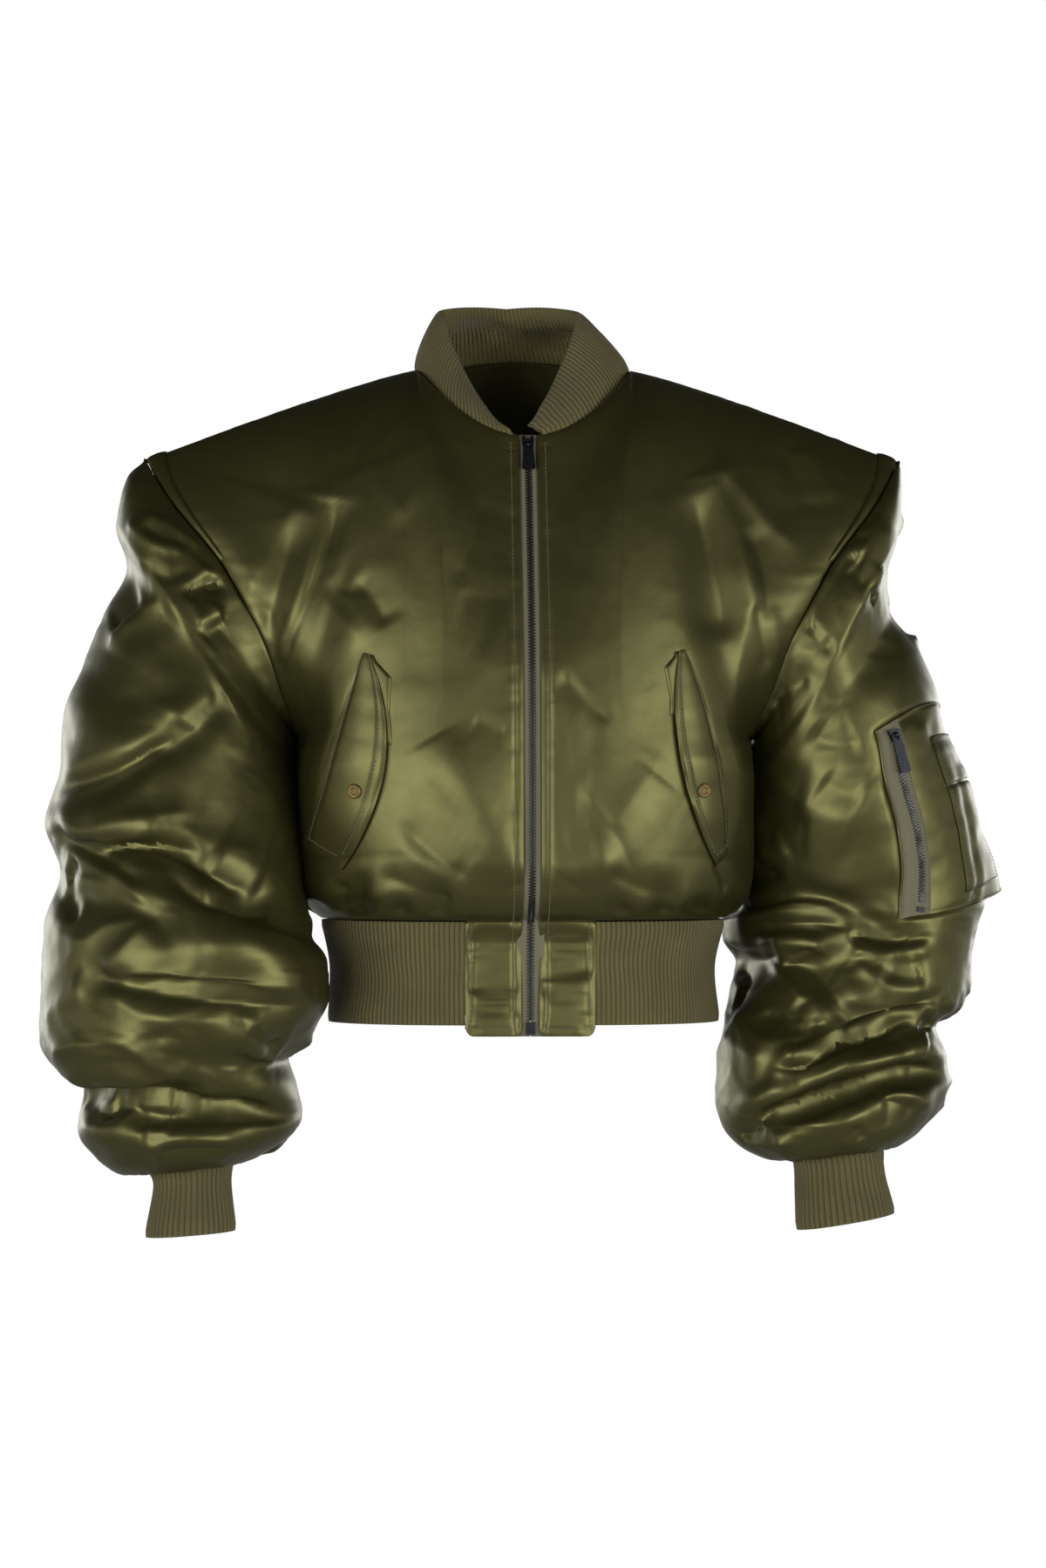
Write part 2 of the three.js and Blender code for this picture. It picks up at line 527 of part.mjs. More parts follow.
const FINISH = {
  satin: { color: 0x4a4726, roughness: 0.38, metalness: 0.3 },
  knit: { color: 0x45401f, roughness: 0.9, metalness: 0 },
  tape: { color: 0x5f5d3a, roughness: 0.8, metalness: 0 },
  metal: { color: 0x17181c, roughness: 0.35, metalness: 0.8 },
  snap: { color: 0x55451f, roughness: 0.5, metalness: 0.1 },
};
const jacket = new THREE.Group();
function add(name, geometry, finish, parent = jacket) {
  const mesh = new THREE.Mesh(geometry, new THREE.MeshStandardMaterial(FINISH[finish]));
  mesh.name = name;
  parent.add(mesh);
  return mesh;
}
const RIGHT = {
  name: "right",
  x: -1,
  folds: RIGHT_FRONT_FOLDS,
  flap: RIGHT_FLAP,
  sleeve: RIGHT_SLEEVE,
  cuff: RIGHT_CUFF,
  sleeveFolds: RIGHT_SLEEVE_FOLDS,
};
const LEFT = {
  name: "left",
  x: 1,
  folds: LEFT_FRONT_FOLDS,
  flap: LEFT_FLAP,
  sleeve: LEFT_SLEEVE,
  cuff: LEFT_CUFF,
  sleeveFolds: LEFT_SLEEVE_FOLDS,
};

// Torso surface on either side, with its folds, and the outward normal. Below the hem seam (v < 0)
// a front goes on down as the tab beside the zip.
function tabPoint(u, drop) {
  const p = torso(-1, u, 0);
  p.y += HEM_BAND[0].front - hemAt(drop * TAB.drop).front;
  p.z = HEM_Z - drop * TAB.drop;
  return p;
}
function panelNormal(face, side, u, v) {
  const at = (a, b) => (b < 0 ? tabPoint(a, -b) : torso(face, a, b));
  const near = Math.abs(v - ARMPIT_V) < RIM_SOFT ? ARMPIT_V - RIM_SOFT : v;
  const { edge, low, high, tab } = NORMAL_RANGE;
  const b = v < 0 ? tab : Math.min(high, Math.max(low, near));
  const n = normalOf(at, Math.min(1 - edge, Math.max(edge, u)), b, { a: 1, b: 1 });
  if (n.y * face < 0 || (Math.abs(n.y) < SIDEWAYS && n.x < 0)) n.negate();
  if (onSide(u, v) || (v > AT_EDGE && u > SHOULDER_FROM)) n.y = 0;
  n.x *= side;
  return n.normalize();
}
function panelPoint(face, side, folds, u, v) {
  const p = v < 0 ? tabPoint(u, -v) : torso(face, u, v);
  p.x *= side;
  if (v <= 0) return p;
  const fade = [v, 1 - v, 1 - u].reduce((f, d) => f * smooth(d / PANEL_FADE), 1);
  const height = foldHeight(folds, p, face) * fade + gatherHeight(p, face);
  return p.addScaledVector(panelNormal(face, side, u, v), height);
}

// Where sleeve and panel meet: the panel's and the sleeve's normals lean towards each other over a ridge
// and stay apart in the fold of the armpit.
const SEAM_LEAN = { spread: 0.6, from: 0.5, topGain: 2, topFrom: 1.5, underarm: -0.5 };
const SEAM_SECTION = 0.5;
function seamNormals(phi, side, surface) {
  const face = armholeFace(phi);
  const panel = panelNormal(face, side, 1, armholeLevel(phi));
  const cloth = sleeveNormal(surface, SEAM_SECTION, phi, side);
  const { spread, from, topGain, topFrom, underarm } = SEAM_LEAN;
  const height = Math.cos(radians(phi));
  const k = smooth(panel.dot(cloth) / spread + from) * smooth(topGain * height + topFrom);
  const out = surface(SEAM_SECTION, phi).sub(surface(0, phi)).normalize();
  const rim = surface(0, phi + 1).sub(surface(0, phi - 1)).normalize();
  const away = new THREE.Vector3().crossVectors(panel, rim);
  if (away.z < 0 === height < underarm) away.negate();
  if (Math.abs(height) <= -underarm && away.x * side < 0) away.negate();
  return {
    panel: panel.clone().addScaledVector(cloth, k).normalize(),
    cloth: cloth.clone().addScaledVector(panel, k).normalize(),
    out: out.add(away).normalize(),
  };
}

// Grid of a panel: degrees of the armhole set its upper levels, so that sleeve and panel share points.
const RING = steps(180, 0, 12);
const LOWER = [0, 0.018, 0.06, 0.13, 0.22, 0.31];
const LEVELS = [...LOWER, ...RING.map(armholeLevel)];
const TAB_LEVELS = [-1, -0.48, -0.04];
const uAtTop = (x, inner) => (x - inner) / (TIP.x - inner);
const NECK_X = [TAB.edge, 84, NECK.half];
const columns = (inner, x1, count) => [
  ...steps(inner, TAB.edge, x1).slice(0, -1),
  ...NECK_X,
  ...steps(NECK.half, TIP.x, count).slice(1),
];
const FRONT_U = columns(ZIP_HALF, 2, 11).map((x) => uAtTop(x, ZIP_HALF));
const BACK_U = columns(0, 2, 9).map((x) => uAtTop(x, 0));
const TAB_COLUMN = 2;
const surfaces = {};
for (const { name, sleeve, x, sleeveFolds } of [RIGHT, LEFT])
  surfaces[name] = sleeveSurface(sleeve, x, sleeveFolds);

// Outer and inner point of a panel's wall.
function panelWall(face, side, u, v) {
  const p = panelPoint(face, side.x, face < 0 ? side.folds : BACK_FOLDS, u, v);
  let n = panelNormal(face, side.x, u, v);
  if (onArmhole(u, v)) {
    const w = clamp01((v - ARMPIT_V) / (1 - ARMPIT_V));
    const phi = THREE.MathUtils.radToDeg(Math.acos(2 * w - 1)) * -face;
    n = seamNormals(phi, side.x, surfaces[side.name]).panel;
    if (w < TINY || w > 1 - TINY) n.setY(0).normalize();
  }
  if (face > 0 && u === 0) n.setX(0).normalize();
  if (v > AT_EDGE || onSide(u, v)) p.y += (face * SEAM_GAP) / 2;
  return [p, p.clone().addScaledVector(n, -SATIN)];
}
const split = (pairs) => [0, 1].map((k) => pairs.map((row) => row.map((pair) => pair && pair[k])));

// Fronts, each with its hem tab in one piece.
const fronts = {};
for (const side of [RIGHT, LEFT]) {
  const vs = [...TAB_LEVELS, ...LEVELS];
  const grids = split(
    vs.map((v) => FRONT_U.map((u, i) => (v < 0 && i > TAB_COLUMN ? null : panelWall(-1, side, u, v)))),
  );
  fronts[side.name] = { grid: grids[0], vs };
  add(`front_${side.name}`, closedWall(...grids), "satin");
}

// Back: one panel from side seam to side seam.
const backGrids = split(
  LEVELS.map((v) => [
    ...BACK_U.slice(1).reverse().map((u) => panelWall(1, RIGHT, u, v)),
    ...BACK_U.map((u) => panelWall(1, LEFT, u, v)),
  ]),
);
add("back", closedWall(...backGrids), "satin");
const panelOutward = (face) => (p) => new THREE.Vector3(p.x, face * TIP.x, TIP.x / 2);
const backBase = { grid: backGrids[0], outward: panelOutward(1) };

// Sleeves: the first ring lies on the armhole's edge.
const TURNS = [...RING.slice().reverse(), ...RING.slice(1, -1).map((phi) => -phi)];
const sleeves = {};
for (const side of [RIGHT, LEFT]) {
  const surface = surfaces[side.name];
  const along = [0, SEAM_SECTION, ...side.sleeve.slice(1).map((row) => row.s)];
  const grids = split(
    along.map((s) =>
      TURNS.map((phi) => {
        const p = surface(s, phi);
        const seam = s === 0 ? seamNormals(phi, side.x, surface) : null;
        if (seam) p.addScaledVector(seam.out, ARMHOLE_GAP);
        const n = seam ? seam.cloth : sleeveNormal(surface, s, phi, side.x);
        return [p, p.clone().addScaledVector(n, -SATIN)];
      }),
    ),
  );
  sleeves[side.name] = { grid: grids[0], along };
  add(`sleeve_${side.name}`, closedWall(...grids, { round: true }), "satin");
}

// Ribs run along a band: every second column of the outer wall is raised.
const ribLift = (i) => (i % 2 ? RIB.height : 0);
function pathLength(path) {
  return path.slice(1).reduce((sum, p, i) => sum + p.distanceTo(path[i]), 0);
}
function evenly(path, count) {
  const lengths = [0];
  for (let i = 1; i < path.length; i++) lengths.push(lengths[i - 1] + path[i].distanceTo(path[i - 1]));
  const total = lengths[lengths.length - 1];
  return range(count + 1).map((k) => {
    const want = (total * k) / count;
    const i = Math.max(1, lengths.findIndex((length) => length >= want - 1e-9));
    const t = (want - lengths[i - 1]) / (lengths[i] - lengths[i - 1]);
    return (i - 1 + t) / (path.length - 1);
  });
}

// Cuffs: ribbed tubes.
for (const side of [RIGHT, LEFT]) {
  const rows = side.cuff;
  const at = reader(rows, "s");
  const surface = (s, phi) => {
    const p = ring(at(s), phi);
    p.x *= side.x;
    p.z -= s === 0 ? SEAM_GAP : 0;
    return p;
  };
  const girth = Math.PI * (rows[0].depth + (rows[0].outX - rows[0].inX) / 2);
  const ribs = Math.round(girth / RIB.cuff);
  const turns = range(2 * ribs).map((i) => (i * 180) / ribs);
  const grids = split(
    rows.map((row) =>
      turns.map((phi, i) => {
        const n = sleeveNormal(surface, row.s, phi, side.x);
        return [ribLift(i), RIB.height / 2 - KNIT].map((d) => surface(row.s, phi).addScaledVector(n, d));
      }),
    ),
  );
  add(`cuff_${side.name}`, closedWall(...grids, { round: true, innerStep: 4 }), "knit");
}

// Collar: a ribbed band standing on the neckline, narrowing to the zip. Its seam follows the panels' edges.
const neckEdge = (face, us, inner) =>
  us.slice(0, us.indexOf(uAtTop(NECK.half, inner)) + 1).map((u) => torso(face, u, 1));
const mirrored = (p) => new THREE.Vector3(-p.x, p.y, p.z);
const frontEdge = neckEdge(-1, FRONT_U, ZIP_HALF);
frontEdge[0].lerp(frontEdge[1], (COLLAR_END - frontEdge[0].x) / (frontEdge[1].x - frontEdge[0].x));
const backEdge = neckEdge(1, BACK_U, 0).reverse();
const halfNeck = [...frontEdge, ...backEdge.slice(1)];
const NECKLINE = [...halfNeck, ...halfNeck.slice(0, -1).reverse().map(mirrored)];
function onPath(path, f) {
  const at = clamp01(f) * (path.length - 1);
  const i = Math.min(path.length - 2, Math.floor(at));
  return path[i].clone().lerp(path[i + 1], at - i);
}
const COLLAR_WALL = { leanStart: 0.6, rib: 0.8, inner: 2.8, edge: 0.005, low: 0.01, reach: 4 };
function collarPoint(f, t) {
  const base = onPath(NECKLINE, f);
  base.z += COLLAR_GAP;
  const reach = base.y < NECK.y ? NECK.frontReach : NECK.backReach;
  const round = Math.atan2(Math.abs(base.x) / NECK.half, (NECK.y - base.y) / reach);
  const turn = THREE.MathUtils.radToDeg(round);
  const { width, lean } = collarAt(turn);
  const inward = new THREE.Vector3(-base.x, NECK.y - base.y, 0).normalize();
  const tilt = radians(lean) * lerp(COLLAR_WALL.leanStart, 1, t);
  base.addScaledVector(inward, width * t * Math.sin(tilt));
  base.x += COLLAR_SHIFT * t;
  base.z += width * t * Math.cos(tilt);
  return base;
}
const collarRibs = Math.round(pathLength(NECKLINE) / RIB.collar);
const collarMarks = evenly(NECKLINE, 2 * collarRibs);
const collarGrids = split(
  [0, 0.5, 1].map((t) =>
    collarMarks.map((f, i) => {
      const p = collarPoint(f, t);
      const { rib, inner, edge, low, reach } = COLLAR_WALL;
      const inside = Math.min(1 - edge, Math.max(edge, f));
      const n = normalOf(collarPoint, inside, Math.max(low, t), { a: reach, b: reach });
      if (n.dot(new THREE.Vector3(p.x, p.y - NECK.y, 0)) < 0) n.negate();
      return [rib * ribLift(i), -inner].map((d) => p.clone().addScaledVector(n, d));
    }),
  ),
);
add("collar", closedWall(...collarGrids, { innerStep: 4 }), "knit");

// Hem band: from one tab round the back to the other.
const PATH_STEPS = 400;
const HEM_NORMAL = { edge: 0.01, reach: 40 };
const TAB_U = FRONT_U[TAB_COLUMN];
const TAB_X = torso(-1, TAB_U, 0).x;
function hemPoint(f, drop) {
  const half = f < 0.5 ? -1 : 1;
  const run = Math.abs(f - 0.5) * 4;
  const face = run > 1 ? -1 : 1;
  const u = face < 0 ? lerp(1, TAB_U, run - 1) : run;
  const row = hemAt(drop);
  const inner = face < 0 ? ZIP_HALF : 0;
  const turn = radians(TURN.low);
  const x = inner + ((row.half - inner) * Math.sin(turn * u)) / Math.sin(turn);
  const round = ((1 - Math.cos(turn * u)) / (1 - Math.cos(turn))) ** FLATNESS;
  const y = face * (face < 0 ? row.front : row.back) * (1 - round);
  const scale = (row.half - inner) / (HEM_BAND[0].half - inner);
  const out = (TAB_X + SEAM_GAP - inner - (TAB_X - inner) * scale) * smooth(run - 1);
  return new THREE.Vector3(half * (x + out), y, HEM_Z - SEAM_GAP - drop);
}
const hemPath = steps(0, 1, PATH_STEPS).map((f) => hemPoint(f, 0));
const hemRibs = Math.round(pathLength(hemPath) / RIB.hem);
const hemGrids = split(
  HEM_BAND.map(({ drop }) =>
    evenly(hemPath, 2 * hemRibs).map((f, i) => {
      const p = hemPoint(f, Math.min(drop, RIB_DROP));
      const inside = Math.min(1 - HEM_NORMAL.edge, Math.max(HEM_NORMAL.edge, f));
      const n = normalOf(hemPoint, inside, drop, { a: 1, b: HEM_NORMAL.reach });
      if (n.dot(new THREE.Vector3(p.x, p.y, 0)) < 0) n.negate();
      return [ribLift(i) - RIB.height / 2, -KNIT].map((d) => p.clone().addScaledVector(n, d));
    }),
  ),
);
add("hem_band", closedWall(...hemGrids, { innerStep: 4 }), "knit");

// Point and normal on the triangles of a grid at fractional row and column.
function onGrid(grid, row, column, round) {
  const nCols = grid[0].length;
  const j = Math.min(grid.length - 2, Math.floor(row));
  const i = round ? Math.floor(column) : Math.min(nCols - 2, Math.floor(column));
  const wrap = (k) => (round ? ((k % nCols) + nCols) % nCols : k);
  const [a, b] = [grid[j][wrap(i)], grid[j][wrap(i + 1)]];
  const [c, d] = [grid[j + 1][wrap(i + 1)], grid[j + 1][wrap(i)]];
  const x = column - i;
  const y = row - j;
  const along = x > y ? b.clone().sub(a) : c.clone().sub(d);
  const up = x > y ? c.clone().sub(b) : d.clone().sub(a);
  return a.clone().addScaledVector(along, x).addScaledVector(up, y);
}
const GRID_REACH = 0.6;
function gridNormal(grid, row, column, round, outward) {
  const wide = round ? grid[0].length : grid[0].length - 1;
  const high = grid.length - 1;
  const at = (r, c) =>
    onGrid(grid, Math.min(high, Math.max(0, r)), round ? c : Math.min(wide, Math.max(0, c)), round);
  const a = at(row, column + GRID_REACH).sub(at(row, column - GRID_REACH));
  const b = at(row + GRID_REACH, column).sub(at(row - GRID_REACH, column));
  const n = a.cross(b).normalize();
  return n.dot(outward) < 0 ? n.negate() : n;
}
const indexIn = (list, value) => {
  const down = list[list.length - 1] < list[0];
  const i = Math.max(1, list.findIndex((x) => (down ? x <= value : x >= value)));
  return i - 1 + (value - list[i - 1]) / (list[i] - list[i - 1]);
};

// A piece of cloth lying on a grid: at(a, b) gives row and column, height(a, b) its underside's
// height over the grid and thick(a, b) its thickness.
function onCloth(name, base, as, bs, { at, height, thick, finish = "satin" }) {
  const pairs = bs.map((b) =>
    as.map((a) => {
      const { row, column } = at(a, b);
      const p = onGrid(base.grid, row, column, base.round);
      const n = gridNormal(base.grid, row, column, base.round, base.outward(p));
      const h = height(a, b);
      return [h + thick(a, b), h].map((d) => p.clone().addScaledVector(n, d));
    }),
  );
  const grids = split(pairs);
  add(name, closedWall(...grids), finish);
  return grids[0];
}

const bow = (t) => 4 * t * (1 - t);
const hump = (t) => Math.sin(Math.PI * clamp01(t));
const onEdge = (edge, t) => ({
  x: lerp(edge.x1, edge.x2, t) + edge.bow * bow(t),
  z: lerp(edge.z1, edge.z2, t),
});

// Hard pieces stand in a local frame: x across, z up and -y out of the cloth.
const wasm = await Module();
wasm.setup();
function solid(geometry) {
  const bare = new THREE.BufferGeometry();
  bare.setAttribute("position", geometry.attributes.position);
  bare.setIndex(geometry.index);
  const merged = mergeVertices(bare, 1e-4);
  return new wasm.Manifold(
    new wasm.Mesh({
      numProp: 3,
      vertProperties: new Float32Array(merged.attributes.position.array),
      triVerts: new Uint32Array(merged.index.array),
    }),
  );
}
function joined(a, b) {
  const mesh = solid(a).add(solid(b)).getMesh();
  const geometry = new THREE.BufferGeometry();
  geometry.setAttribute("position", new THREE.Float32BufferAttribute(mesh.vertProperties, 3));
  geometry.setIndex(Array.from(mesh.triVerts));
  geometry.computeVertexNormals();
  return geometry;
}
function frameAt(origin, out, up) {
  const y = out.clone().negate();
  const x = new THREE.Vector3().crossVectors(y, up).normalize();
  const z = new THREE.Vector3().crossVectors(x, y).normalize();
  const group = new THREE.Group();
  group.setRotationFromMatrix(new THREE.Matrix4().makeBasis(x, y, z));
  group.position.copy(origin);
  jacket.add(group);
  return group;
}
function slab(shape, back, front, curveSegments = 4) {
  const geometry = new THREE.ExtrudeGeometry(shape, {
    depth: front + back,
    bevelEnabled: false,
    curveSegments,
  });
  return geometry.rotateX(Math.PI / 2).translate(0, back, 0);
}
function tapered(top, bottom, height, back, front) {
  const shape = new THREE.Shape([
    new THREE.Vector2(-bottom / 2, -height / 2),
    new THREE.Vector2(bottom / 2, -height / 2),
    new THREE.Vector2(top / 2, height / 2),
    new THREE.Vector2(-top / 2, height / 2),
  ]);
  return slab(shape, back, front);
}
function bail(front) {
  const axis = front + BAIL.axis;
  const shape = new THREE.Shape();
  shape.moveTo(front - BAIL.sink, -BAIL.outer);
  shape.lineTo(axis, -BAIL.outer);
  shape.absarc(axis, 0, BAIL.outer, -Math.PI / 2, Math.PI / 2, false);
  shape.lineTo(front - BAIL.sink, BAIL.outer);
  shape.lineTo(front - BAIL.sink, BAIL.inner);
  shape.lineTo(axis, BAIL.inner);
  shape.absarc(axis, 0, BAIL.inner, Math.PI / 2, -Math.PI / 2, true);
  shape.lineTo(front - BAIL.sink, -BAIL.inner);
  const geometry = new THREE.ExtrudeGeometry(shape, {
    depth: 2 * BAIL.half,
    bevelEnabled: false,
    curveSegments: BAIL.sides,
  });
  const turn = new THREE.Matrix4().makeBasis(
    new THREE.Vector3(0, -1, 0),
    new THREE.Vector3(0, 0, 1),
    new THREE.Vector3(-1, 0, 0),
  );
  return geometry.applyMatrix4(turn).translate(BAIL.half, 0, 0);
}
function pull({ top, bottom, length }) {
  const shape = new THREE.Shape();
  shape.moveTo(-top / 2, PULL.bar);
  shape.lineTo(-bottom / 2, PULL.corner - length);
  shape.quadraticCurveTo(-bottom / 2, -length, PULL.corner - bottom / 2, -length);
  shape.lineTo(bottom / 2 - PULL.corner, -length);
  shape.quadraticCurveTo(bottom / 2, -length, bottom / 2, PULL.corner - length);
  shape.lineTo(top / 2, PULL.bar);
  const window = new THREE.Path();
  window.moveTo(-PULL.windowHalf, -PULL.bar);
  window.lineTo(PULL.windowHalf, -PULL.bar);
  window.lineTo(PULL.windowHalf, -PULL.window);
  window.lineTo(-PULL.windowHalf, -PULL.window);
  shape.holes.push(window);
  return slab(shape, PULL.thick / 2, PULL.thick / 2);
}
function sliderAndPull(prefix, frame, size, pullSize) {
  const body = tapered(size.top, size.bottom, size.height, size.back, size.front);
  add(`${prefix}_slider`, joined(body, bail(size.front)), "metal", frame);
  const tab = add(`${prefix}_pull`, pull(pullSize), "metal", frame);
  tab.position.set(0, -size.front - BAIL.axis, 0);
}
function addSnap(name, grid) {
  const row = SNAP.along * (grid.length - 1);
  const column = SNAP.across * (grid[0].length - 1);
  const n = gridNormal(grid, row, column, false, new THREE.Vector3(0, -1, 0));
  const origin = onGrid(grid, row, column).addScaledVector(n, SNAP.lift);
  const frame = frameAt(origin, n, new THREE.Vector3(0, 0, 1));
  const profile = SNAP_PROFILE.map(({ r, h }) => new THREE.Vector2(r, h));
  add(name, new THREE.LatheGeometry(profile, SNAP.sides).rotateX(Math.PI), "snap", frame);
}

// Pocket flaps with their snaps, the welts beside them and the tucks along the armholes.
for (const side of [RIGHT, LEFT]) {
  const { grid, vs } = fronts[side.name];
  const base = { grid, outward: panelOutward(-1) };
  const place = (x, z) => {
    const { u, v } = frontAt(x, z);
    return { row: indexIn(vs, v), column: indexIn(FRONT_U, u) };
  };
  const { sewn, free, welt } = side.flap;
  const flapAt = (a, b) => {
    const [s, f] = [onEdge(sewn, b), onEdge(free, b)];
    return place(lerp(s.x, f.x, a), lerp(s.z, f.z, a));
  };
  const [flapAs, flapBs] = [steps(0, 1, FLAP.columns), steps(0, 1, FLAP.rows)];
  const flap = onCloth(`pocket_flap_${side.name}`, base, flapAs, flapBs, {
    at: flapAt,
    height: (a, b) => FLAP.lift + FLAP.standOff * a * a * hump(b),
    thick: (a, b) => FLAP.thickness + FLAP.puff * hump(a) * hump(b),
  });
  const corner = onEdge(free, welt.end);
  onCloth(`pocket_welt_${side.name}`, base, [0, 0.5, 1], steps(0, 1, WELT.rows), {
    at: (a, b) => {
      const f = onEdge(free, welt.end * b);
      const out =
        b < WELT.peak
          ? lerp(free.x1, welt.x, b / WELT.peak)
          : lerp(welt.x, corner.x, (b - WELT.peak) / (1 - WELT.peak));
      return place(lerp(f.x - WELT.gap, Math.min(out, f.x - WELT.least), a), f.z);
    },
    height: () => WELT.lift,
    thick: () => WELT.thickness,
  });
  addSnap(`pocket_snap_${side.name}`, flap);
  for (const { name, cloth, us, from, column } of [
    { name: "front", cloth: base, us: FRONT_U, from: TAB_LEVELS.length, column: (c) => c },
    {
      name: "back",
      cloth: backBase,
      us: BACK_U,
      from: 0,
      column: (c) => BACK_U.length - 1 + side.x * c,
    },
  ])
    onCloth(`armhole_tuck_${name}_${side.name}`, cloth, [0, 1], steps(0, 1, TUCK.endAngle / TUCK.step), {
      at: (a, b) => {
        const inset = lerp(lerp(TUCK.top, TUCK.end, b), TUCK.inset, a) / (TIP.x - ZIP_HALF);
        return {
          row: from + indexIn(LEVELS, armholeLevel(TUCK.endAngle * b)),
          column: column(indexIn(us, 1 - inset)),
        };
      },
      height: () => TUCK.lift,
      thick: () => TUCK.thickness,
    });
}

// Patch pocket on the left sleeve, its pen pocket and its zip.
const sleeveBase = {
  grid: sleeves.left.grid,
  round: true,
  outward: (p) => new THREE.Vector3(p.x - SLEEVE_MIDDLE_X, p.y, 0),
};
const pocketColumns = Math.round((POCKET.phi.front - POCKET.phi.back) / (360 / TURNS.length));
const [pocketAs, pocketBs] = [steps(0, 1, pocketColumns), steps(0, 1, POCKET.rows)];
const pocketGrid = onCloth("sleeve_pocket", sleeveBase, pocketAs, pocketBs, {
  at: (a, b) => ({
    row: indexIn(
      sleeves.left.along,
      lerp(lerp(POCKET.top.s1, POCKET.top.s2, a), lerp(POCKET.bottom.s1, POCKET.bottom.s2, a), b),
    ),
    column: lerp(POCKET.phi.front, POCKET.phi.back, a) / (360 / TURNS.length),
  }),
  height: (a, b) => {
    const { height, a: fromA, b: fromB } = POCKET.corner;
    const lifted = smooth((a - fromA) / (1 - fromA)) * smooth((b - fromB) / (1 - fromB));
    return POCKET.lift + height * lifted;
  },
  thick: (a, b) => POCKET.thickness + POCKET.puff * hump(a) * hump(b),
});
const pocketBase = { grid: pocketGrid, outward: sleeveBase.outward };
const onPocket = (lift, thick, finish) => ({
  at: (a, b) => ({ row: b, column: a }),
  height: () => lift,
  thick: () => thick,
  finish,
});
function penPiece(name, b1, b2) {
  const bs = steps(b1, b2, Math.round(b2 - b1));
  onCloth(name, pocketBase, PEN.a, bs, onPocket(PEN.lift, PEN.thickness, "satin"));
}
penPiece("pen_pocket_top", PEN.b1, PEN.split - PEN.seam);
penPiece("pen_pocket_body", PEN.split + PEN.seam, PEN.b2);
const { tape: sleeveTape, chain: sleeveChain } = SLEEVE_ZIP;
onCloth(
  "sleeve_zip_tape",
  pocketBase,
  [sleeveTape.front, sleeveTape.back],
  steps(0, POCKET.rows, POCKET.rows),
  onPocket(SLEEVE_TAPE.lift, SLEEVE_TAPE.thick, "tape"),
);
const chainColumn = (row) => lerp(sleeveChain.top, sleeveChain.bottom, row / POCKET.rows);
onCloth(
  "sleeve_zip_chain",
  pocketBase,
  [-sleeveChain.half, sleeveChain.half],
  [sleeveChain.from, ...steps(2, POCKET.rows - 1, POCKET.rows - 3), sleeveChain.to],
  {
    ...onPocket(SLEEVE_CHAIN.lift, SLEEVE_CHAIN.thick, "metal"),
    at: (a, row) => ({ row, column: chainColumn(row) + a }),
  },
);
const ROW_STEP = 0.3;
function pocketFrame(row) {
  const column = chainColumn(row);
  const n = gridNormal(pocketGrid, row, column, false, new THREE.Vector3(0, -1, 0));
  const onChain = (r) => onGrid(pocketGrid, r, chainColumn(r));
  const up = onChain(row - ROW_STEP).sub(onChain(row + ROW_STEP)).normalize();
  return frameAt(onGrid(pocketGrid, row, column), n, up);
}
sliderAndPull("sleeve_zip", pocketFrame(SLEEVE_ZIP.slider), SLEEVE_SLIDER, SLEEVE_PULL);
const { width: stopWidth, height: stopHeight, back: stopBack, front: stopFront } = SLEEVE_STOP;
add(
  "sleeve_zip_stop",
  tapered(stopWidth, stopWidth, stopHeight, stopBack, stopFront),
  "metal",
  pocketFrame(SLEEVE_ZIP.stop),
);

// Front zip: everything follows the line of the centre front.
const centreLine = (x, v, depth) => {
  const n = panelNormal(-1, 1, 0, v).setX(0).normalize();
  const p = (v < 0 ? tabPoint(0, -v) : torso(-1, 0, v)).setX(x);
  return p.addScaledVector(n, -depth);
};
const LEVEL_GAP = 0.01;
function zipStrip(name, x1, x2, from, to, front, back, finish) {
  const between = (v) => v > from + LEVEL_GAP && v < to - LEVEL_GAP;
  const vs = [from, ...[...TAB_LEVELS, ...LEVELS].filter(between), to];
  const grids = [front, back].map((depth) => vs.map((v) => [x1, x2].map((x) => centreLine(x, v, depth))));
  add(name, closedWall(...grids), finish);
}
zipStrip("zip_tape_right", -ZIP.tape, -ZIP.split, -1, 1, ZIP.tapeFront, ZIP.tapeBack, "tape");
zipStrip("zip_tape_left", ZIP.split, ZIP.tape, -1, 1, ZIP.tapeFront, ZIP.tapeBack, "tape");
const { chain: chainStart, chainEnd } = ZIP_LEVEL;
zipStrip("zip_chain", -ZIP.chain / 2, ZIP.chain / 2, chainStart, chainEnd, ZIP.front, ZIP.back, "metal");
function zipFrame(v) {
  const n = panelNormal(-1, 1, 0, v).setX(0).normalize();
  return frameAt(centreLine(0, v, 0), n, new THREE.Vector3(0, -n.z, n.y).negate());
}
sliderAndPull("zip", zipFrame(ZIP_LEVEL.slider), SLIDER, FRONT_PULL);
for (const side of [RIGHT, LEFT]) {
  const stop = tapered(STOP.width, STOP.width, STOP.height, STOP.back, STOP.front);
  add(`zip_stop_${side.name}`, stop, "metal", zipFrame(ZIP_LEVEL.stop)).position.setX(side.x * STOP.x);
}
const zipBox = tapered(BOX.width, BOX.width, BOX.height, BOX.back, BOX.front);
add("zip_box", zipBox, "metal", zipFrame(ZIP_LEVEL.box));

export default jacket;
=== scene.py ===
import math

